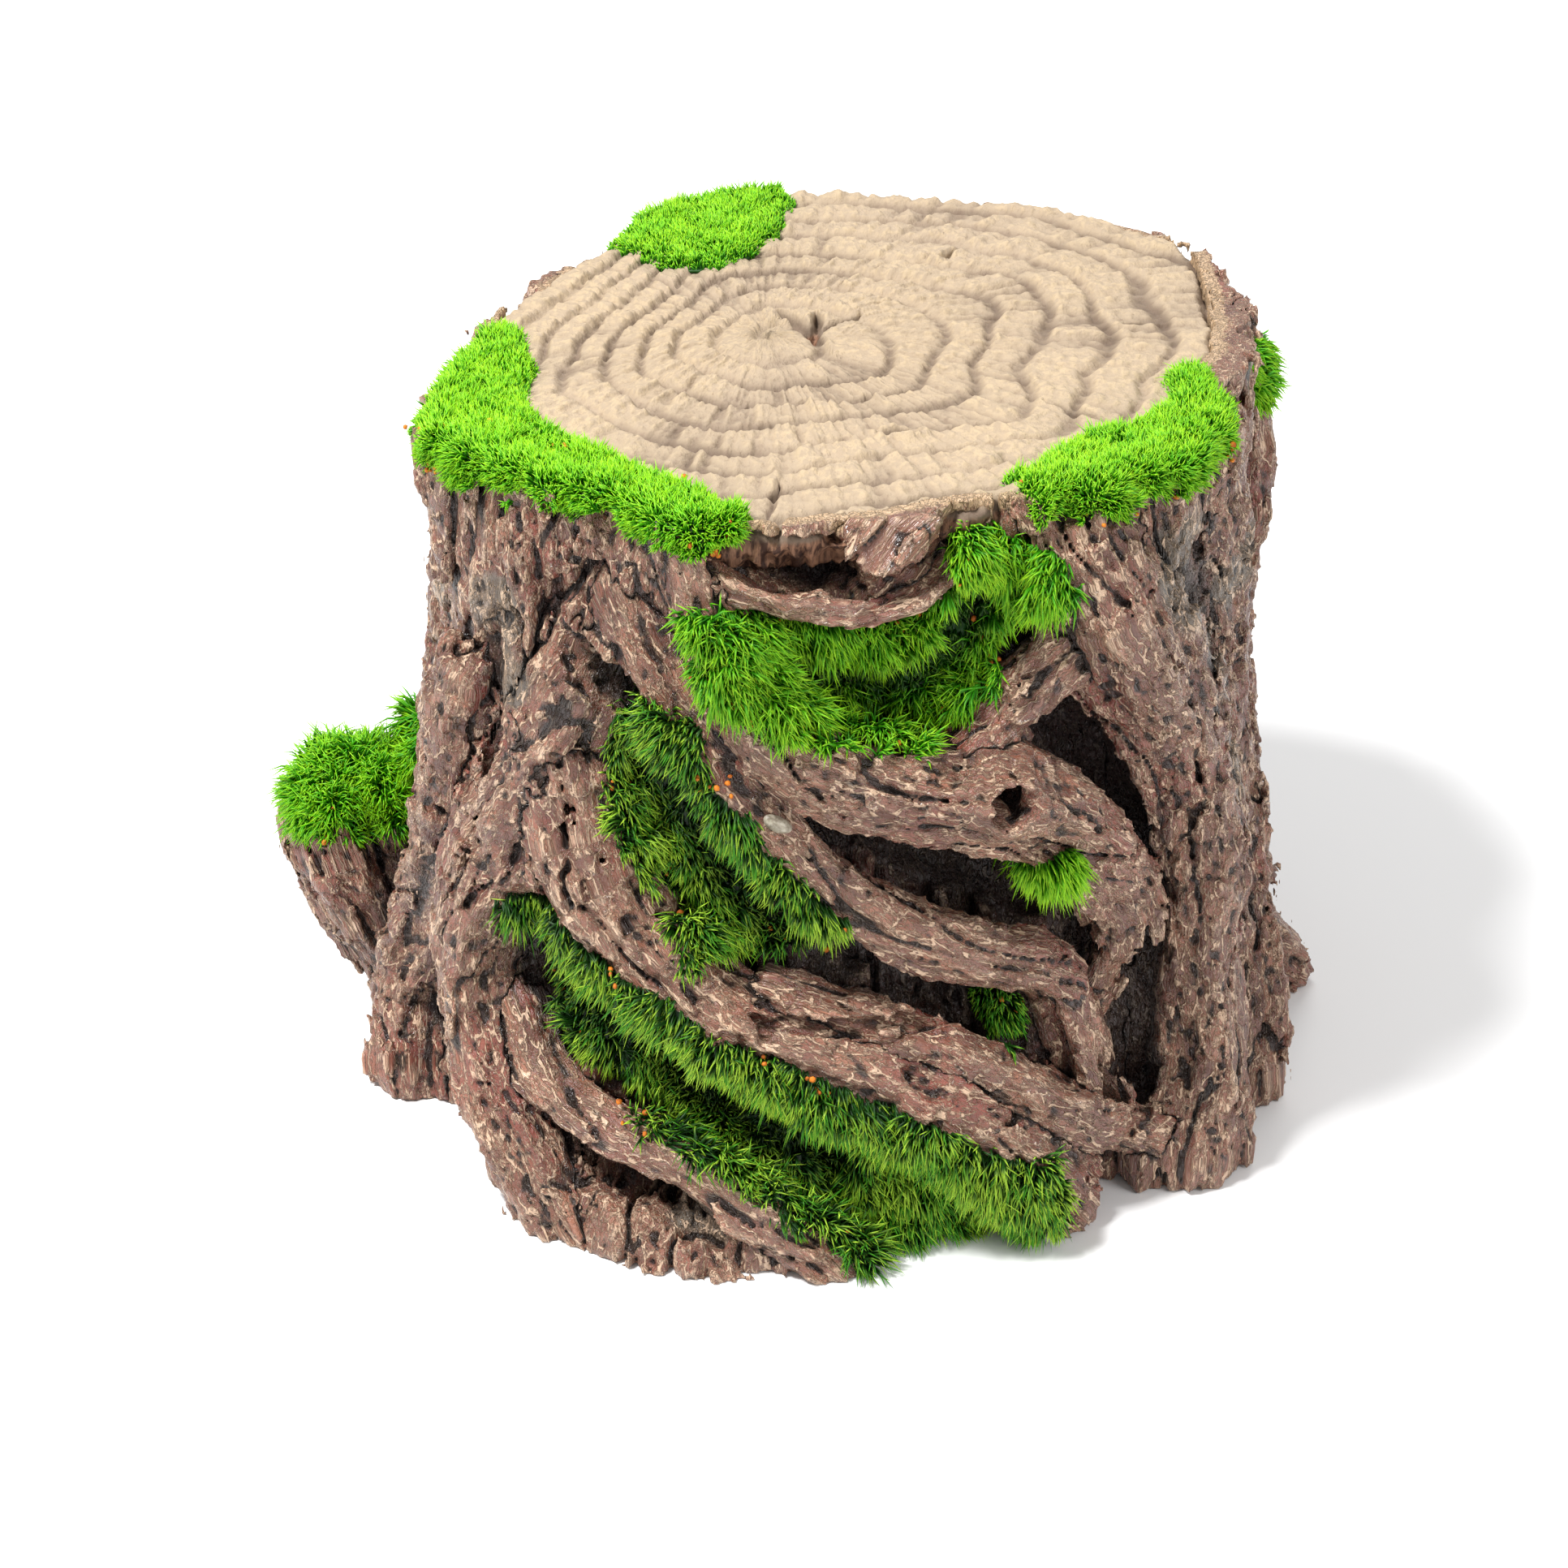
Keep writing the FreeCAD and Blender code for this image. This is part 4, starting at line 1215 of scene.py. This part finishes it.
    def finish(self, colour, roughness, normal=None, **constants):
        """Wire the shader and return the material."""
        self.put(self.shader.inputs["Base Color"], colour)
        self.put(self.shader.inputs["Roughness"], roughness)
        self.put(self.shader.inputs["Normal"], normal)
        for name, number in constants.items():
            self.shader.inputs[name.replace("_", " ")].default_value = number
        return self.material


def paint(red, green, blue):
    """A colour given as 0-255 screen values."""
    return tuple((part / 255) ** 2.2 for part in (red, green, blue)) + (1.0,)


def bark_material():
    """Brown painted bark: grey patches, red stains, pale dry-brushed edges, a painted highlight on broad
    swellings, and painted shade in hollows, crevices and broad recesses.
    """
    n = Nodes("painted_bark")
    grain = n.attribute("grain", vector=True)
    edge, hollow, swell, grey, tan = map(n.attribute, ("edge", "hollow", "swell", "grey", "tan"))
    long_way = n.vector("MULTIPLY", grain, (0.38, 1.0, 1.0))
    broad = n.noise(grain, 0.07, 3)
    blotch = n.noise(long_way, 0.35, 4)
    fine = n.noise(long_way, 1.8, 4, 0.65)
    flakes = n.noise(long_way, 0.50, 3, 0.5, 0.8)
    scales = n.noise(long_way, 1.15, 2, 0.5, 0.6)
    borders, levels = n.cells(n.warped(long_way, 0.8, 1.3), 0.60)
    small_borders, small_levels = n.cells(n.warped(long_way, 1.6, 0.8), 1.25)

    # Height of the painted flakes, and the thin pale lines along their rims.
    steps = n.plus(n.ramp(flakes, 0.440, 0.455), n.ramp(flakes, 0.550, 0.565))
    for height, share in ((levels, 2.2), (small_levels, 0.9), (n.ramp(scales, 0.50, 0.52), 0.5)):
        steps = n.plus(steps, height, share)
    rims = n.larger(n.rim(flakes, 0.440, 0.028), n.rim(flakes, 0.550, 0.028))
    rims = n.larger(rims, n.times(n.rim(scales, 0.50, 0.040), 0.7))
    rims = n.times(rims, n.ramp(fine, 0.36, 0.52))
    cracked = n.times(n.ramp(borders, 0.085, 0.035), n.ramp(scales, 0.42, 0.54))
    crazed = n.times(n.ramp(small_borders, 0.11, 0.05), n.ramp(blotch, 0.58, 0.46))
    crazed = n.times(crazed, n.ramp(fine, 0.40, 0.55, 0.0, 0.8))
    rims = n.larger(rims, n.larger(cracked, crazed))

    # Paint, from the ground colour to the painted highlight on broad swellings, the dry-brushed edges,
    # the painted shade in hollows, crevices and broad recesses, and the rim.
    colour = n.mix(n.ramp(blotch, 0.35, 0.65), paint(148, 98, 77), paint(98, 57, 44))
    colour = n.mix(n.ramp(levels, 0.35, 0.65, 0.0, 0.45), colour, paint(88, 50, 42))
    colour = n.mix(n.ramp(broad, 0.50, 0.66, 0.0, 0.75), colour, paint(126, 60, 48))
    # Painted highlight: broad swellings are lightened.
    colour = n.mix(n.ramp(swell, 0.25, 0.90, 0.0, 0.22), colour, paint(176, 132, 110))
    greyed = n.plus(grey, n.wobble(blotch, 1.2))
    colour = n.mix(n.ramp(greyed, 0.40, 0.75, 0.0, 0.8), colour, paint(104, 99, 88))
    colour = n.mix(n.times(n.ramp(flakes, 0.455, 0.40), 0.3), colour, paint(58, 36, 30))
    brushed = n.times(n.ramp(edge, 0.42, 0.95), n.ramp(fine, 0.38, 0.58))
    pale = n.larger(brushed, n.times(rims, 0.95))
    # The pale edges give way to the painted shade in hollows.
    pale = n.times(pale, n.ramp(hollow, 0.25, 0.6, 1.0, 0.0))
    colour = n.mix(n.times(pale, 0.80), colour, paint(216, 184, 154))
    # Painted shade: near-black in hollows, in crevices and in broad recesses.
    crevice = n.ramp(edge, -0.08, -0.50)
    dark = n.larger(n.ramp(hollow, 0.22, 0.70), n.times(crevice, 0.9))
    dark = n.larger(dark, n.ramp(swell, -0.02, -0.42, 0.0, 0.88))
    colour = n.mix(dark, colour, paint(22, 14, 12))
    splashed = n.plus(tan, n.wobble(fine, 1.5))
    colour = n.mix(n.ramp(splashed, 0.4, 0.8, 0.0, 0.9), colour, paint(196, 164, 128))

    relief = n.plus(n.plus(steps, rims, 0.5), fine, 0.6)
    roughness = n.ramp(fine, 0.3, 0.7, 0.24, 0.40)
    return n.finish(colour, roughness, n.bump(relief, 0.0008), Specular_IOR_Level=0.75)


def wood_material():
    """Tan cut wood: pale golden crests, grey-brown valleys, brown broken sides."""
    n = Nodes("painted_cut_wood")
    place_of = n.object_place()
    streaks = n.noise(n.attribute("grain", vector=True), 1.5, 4, 0.6)
    level = n.attribute("level")
    speckle = n.noise(place_of, 700, 4, 0.65)
    broad = n.noise(place_of, 40, 2)
    colour = n.mix(n.ramp(level, -0.30, 0.45), paint(94, 79, 66), paint(158, 140, 118))
    colour = n.mix(n.ramp(broad, 0.40, 0.65, 0.0, 0.4), colour, paint(160, 142, 122))
    crest = n.times(n.ramp(level, 0.15, 0.7), n.ramp(streaks, 0.42, 0.60))
    colour = n.mix(n.times(crest, 0.6), colour, paint(182, 161, 130))
    worn = n.plus(streaks, level, -0.25)
    colour = n.mix(n.ramp(worn, 0.44, 0.70, 0.0, 0.5), colour, paint(116, 98, 84))
    low = n.plus(level, n.wobble(speckle, 0.8))
    side = n.mix(n.ramp(streaks, 0.40, 0.62), paint(58, 38, 30), paint(138, 102, 80))
    colour = n.mix(n.ramp(low, -0.50, -0.95), colour, side)
    normal = n.bump(n.plus(streaks, speckle, 0.5), 0.0004, 0.9)
    roughness = n.ramp(speckle, 0.3, 0.7, 0.62, 0.8)
    return n.finish(colour, roughness, normal, Specular_IOR_Level=0.3)


def moss_material():
    """Flocked fibres: dark green at the root, yellow-green at the tip, with painted shade in hollows and
    in the gaps between tufts.
    """
    n = Nodes("flocked_fibres")
    up, tint, deep, bright = map(n.attribute, ("up", "tint", "deep", "bright"))
    low = n.mix(n.ramp(tint, 0.1, 0.9), paint(1, 14, 1), paint(6, 38, 3))
    tips = n.mix(n.ramp(tint, 0.25, 0.75), paint(58, 150, 6), paint(196, 238, 66))
    low = n.mix(bright, low, n.mix(tint, paint(40, 124, 2), paint(74, 156, 4)))
    tips = n.mix(bright, tips, n.mix(tint, paint(116, 200, 4), paint(172, 222, 12)))
    colour = n.mix(n.ramp(up, 0.40, 1.0), low, tips)
    # Painted shade: fibres in hollows and tuft gaps turn deep green.
    colour = n.mix(n.times(deep, 0.9), colour, paint(4, 38, 3))
    return n.finish(colour, 0.5, None, Specular_IOR_Level=0.35)


def speckled_material(name, scale, detail, colours, roughness, height, gloss):
    """Two colours in fine speckles, with a slight relief."""
    n = Nodes(name)
    speckle = n.noise(n.object_place(), scale, detail)
    colour = n.mix(n.ramp(speckle, 0.35, 0.65), *(paint(*each) for each in colours))
    return n.finish(colour, roughness, n.bump(speckle, height), Specular_IOR_Level=gloss)


def granule_material():
    """Orange-brown crumbs."""
    return speckled_material(
        "brown_granules", 900, 3, ((206, 118, 36), (150, 76, 24)), 0.6, 0.0001, 0.3)


def pebble_material():
    """Pale grey stone."""
    return speckled_material(
        "pale_pebble", 1500, 4, ((176, 168, 150), (126, 116, 100)), 0.35, 0.00005, 0.5)


# ---------------------------------------------------------------- bark pieces

# Grey paint: (angle, height, radius).
GREY_PATCHES = [
    (-137, 81, 6), (-134, 73, 5), (-42, 86, 9), (-33, 70, 8), (-28, 52, 8), (-22, 78, 7),
    (-160, 78, 8), (60, 70, 14), (100, 84, 12), (150, 60, 12), (20, 40, 12), (-105, 6, 7),
]


def grey_share(points):
    """1 in the middle of the grey paint, falling to 0 round it."""
    share = np.zeros(len(points))
    for angle, height, radius in GREY_PATCHES:
        gap = np.linalg.norm(points - place(angle, height, 2), axis=1)
        share = np.maximum(share, 1 - smoothstep(0.35 * radius, 1.35 * radius, gap))
    return share


def bark_shape(field, first, path, fields):
    """A bark piece's vertices, quads and paint attributes, among them the masks for painted highlight
    and painted shade.
    """
    points, quads = surface(field, first)
    sharp, soft, wide = fields
    turn = np.degrees(np.arctan2(points[:, 1] - AXIS[1], points[:, 0] - AXIS[0]))
    past_edge = np.hypot(points[:, 0] - AXIS[0], points[:, 1] - AXIS[1]) - face_edge(turn)
    near_cut = smoothstep(TOP - 4.5, TOP - 0.5, points[:, 2]) * smoothstep(-4, -1, past_edge)
    return points, quads, {
        "grain": points[:, [2, 0, 1]] if path is None else rod_at(points, coarser(path))[1],
        # Fine convexity: dry-brushed edges where it is high, painted shade in crevices where it is low.
        "edge": sampled(sharp, points) / 0.45,
        # Painted shade in hollows, from the blurred field.
        "hollow": np.clip(-sampled(soft, points) / 2.6, 0, 1),
        # Painted highlight on broad swellings above 0, painted shade in broad recesses below 0.
        "swell": np.clip(sampled(wide, points) / 3.0, -1, 1),
        "grey": grey_share(points),
        "tan": near_cut * (1 - smoothstep(0.5, 3.5, past_edge)),
    }


def make_bark(whole, nearest, second, owner, rods, trunk, fields, material):
    """The trunk and every root, each a closed piece that meets the others face to face."""
    def root_shape(rod):
        number, path, distance, first, last = rod
        box = window(first, last)
        rival = np.where(owner[box] == number, second[box], nearest[box])
        return bark_shape(np.maximum(whole[box], (distance - rival) / 2), first, path, fields)

    rival = np.where(owner == 0, second, nearest)
    field = np.maximum(whole, (trunk - rival) / 2)
    shapes = {"trunk_shell": bark_shape(field, (0, 0, 0), None, fields)}
    shapes.update(zip(rods, POOL.map(root_shape, rods.values())))
    for name, (points, quads, attributes) in shapes.items():
        piece = make_mesh(f"{name}_looks", points, quads, [material], attributes)
        settle(piece, name)


# ---------------------------------------------------------------- pebble

PEBBLE_SPOT = (-97, 61)
PEBBLE_HALF_SIZES = (1.9, 1.0, 0.85)


def make_pebble(full, material):
    """A smooth oval pebble, slightly lopsided, where the CAD has it."""
    mesh = bmesh.new()
    bmesh.ops.create_icosphere(mesh, subdivisions=4, radius=1.0)
    points = np.array([vertex.co for vertex in mesh.verts])
    faces = np.array([[vertex.index for vertex in face.verts] for face in mesh.faces])
    mesh.free()
    points = points * (1 + 0.10 * noise(*(points.T * 0.9), 71)[:, None])
    long_way = unit(np.array([[0.8, 0.0, -0.45]]))[0]
    short_way = unit(np.cross(long_way, [[0, -1.0, 0]]))[0]
    out = np.cross(long_way, short_way)
    ray = np.array([place(*PEBBLE_SPOT, proud) for proud in np.arange(12, -2, -0.2)])
    spot = ray[np.argmax(sampled(full, ray) < 0.15)]
    points = spot + (points * PEBBLE_HALF_SIZES) @ np.array([long_way, short_way, out])
    piece = make_mesh("crevice_pebble_looks", points, faces, [material])
    settle(piece, "crevice_pebble")


# ---------------------------------------------------------------- floor, camera and lights

def make_floor():
    """A wide pale floor, a hair below the ornament."""
    half, drop = 3000, -0.15
    corners = [(-half, -half, drop), (half, -half, drop), (half, half, drop), (-half, half, drop)]
    n = Nodes("pale_floor")
    shade = n.noise(n.object_place(), 3.0)
    n.finish(n.mix(shade, (0.90, 0.90, 0.90, 1), (0.93, 0.93, 0.93, 1)), 0.9)
    make_mesh("floor", corners, [(0, 1, 2, 3)], [n.material])


def make_camera():
    """The camera fitted to the photo's ellipse of the cut face and to the foot."""
    camera = bpy.data.cameras.new("camera")
    camera.lens = 82.9
    camera.sensor_width = 36
    camera.clip_end = 10
    holder = bpy.data.objects.new("camera", camera)
    holder.location = (-0.0028, -0.419, 0.284)
    holder.rotation_euler = (math.radians(90 - 30.6), 0, 0)
    bpy.context.scene.collection.objects.link(holder)
    bpy.context.scene.camera = holder


def make_light(name, place_of, size, power):
    """A round soft light, aimed at the middle of the ornament."""
    lamp = bpy.data.lights.new(name, "AREA")
    lamp.shape = "DISK"
    lamp.size = size
    lamp.energy = power
    holder = bpy.data.objects.new(name, lamp)
    holder.location = place_of
    aim = Vector((0, 0, 0.05)) - Vector(place_of)
    holder.rotation_euler = aim.to_track_quat("-Z", "Y").to_euler()
    bpy.context.scene.collection.objects.link(holder)


def make_lights():
    """A key light from the left, two weak ones and a pale surrounding."""
    make_light("key", (-0.45, -0.25, 0.95), 0.25, 18)
    make_light("fill", (0.8, -0.6, 0.6), 0.6, 5)
    make_light("back", (0.2, 0.9, 0.8), 0.7, 5)
    world = bpy.data.worlds.new("studio")
    world.use_nodes = True
    sky = world.node_tree.nodes["Background"]
    sky.inputs["Color"].default_value = (1, 1, 1, 1)
    sky.inputs["Strength"].default_value = 0.46
    bpy.context.scene.world = world
    bpy.context.scene.view_settings.view_transform = "Standard"


# ---------------------------------------------------------------- the whole ornament

def build():
    """Every piece of the ornament, from one carved field."""
    whole, nearest, second, owner, rods, trunk, solid = carve_stump()
    _, _, z, radial, angle = around_axis()
    slab = np.maximum(
        np.maximum(radial - face_edge(angle), z - (TOP - FACE_DROP)), TOP - FACE_DEPTH - 1 - z
    )
    full = np.minimum(whole, slab.astype(np.float32))
    # sharp, soft and wide give the bark's dry-brushed edges, its painted highlight on broad swellings
    # and its painted shade in crevices, hollows and broad recesses.
    sharp = blurred(np.clip(full, -2, 2), 0.5)
    soft = blurred(np.clip(full, -FAR, FAR), 2.6)
    wide = blurred(np.clip(np.minimum(solid, slab), -FAR, FAR).astype(np.float32), 6.0)
    make_bark(whole, nearest, second, owner, rods, trunk, (sharp, soft, wide), bark_material())
    make_face([wood_material()])
    make_moss(full, soft, [moss_material(), granule_material()])
    make_pebble(full, pebble_material())


build()
make_floor()
make_camera()
make_lights()
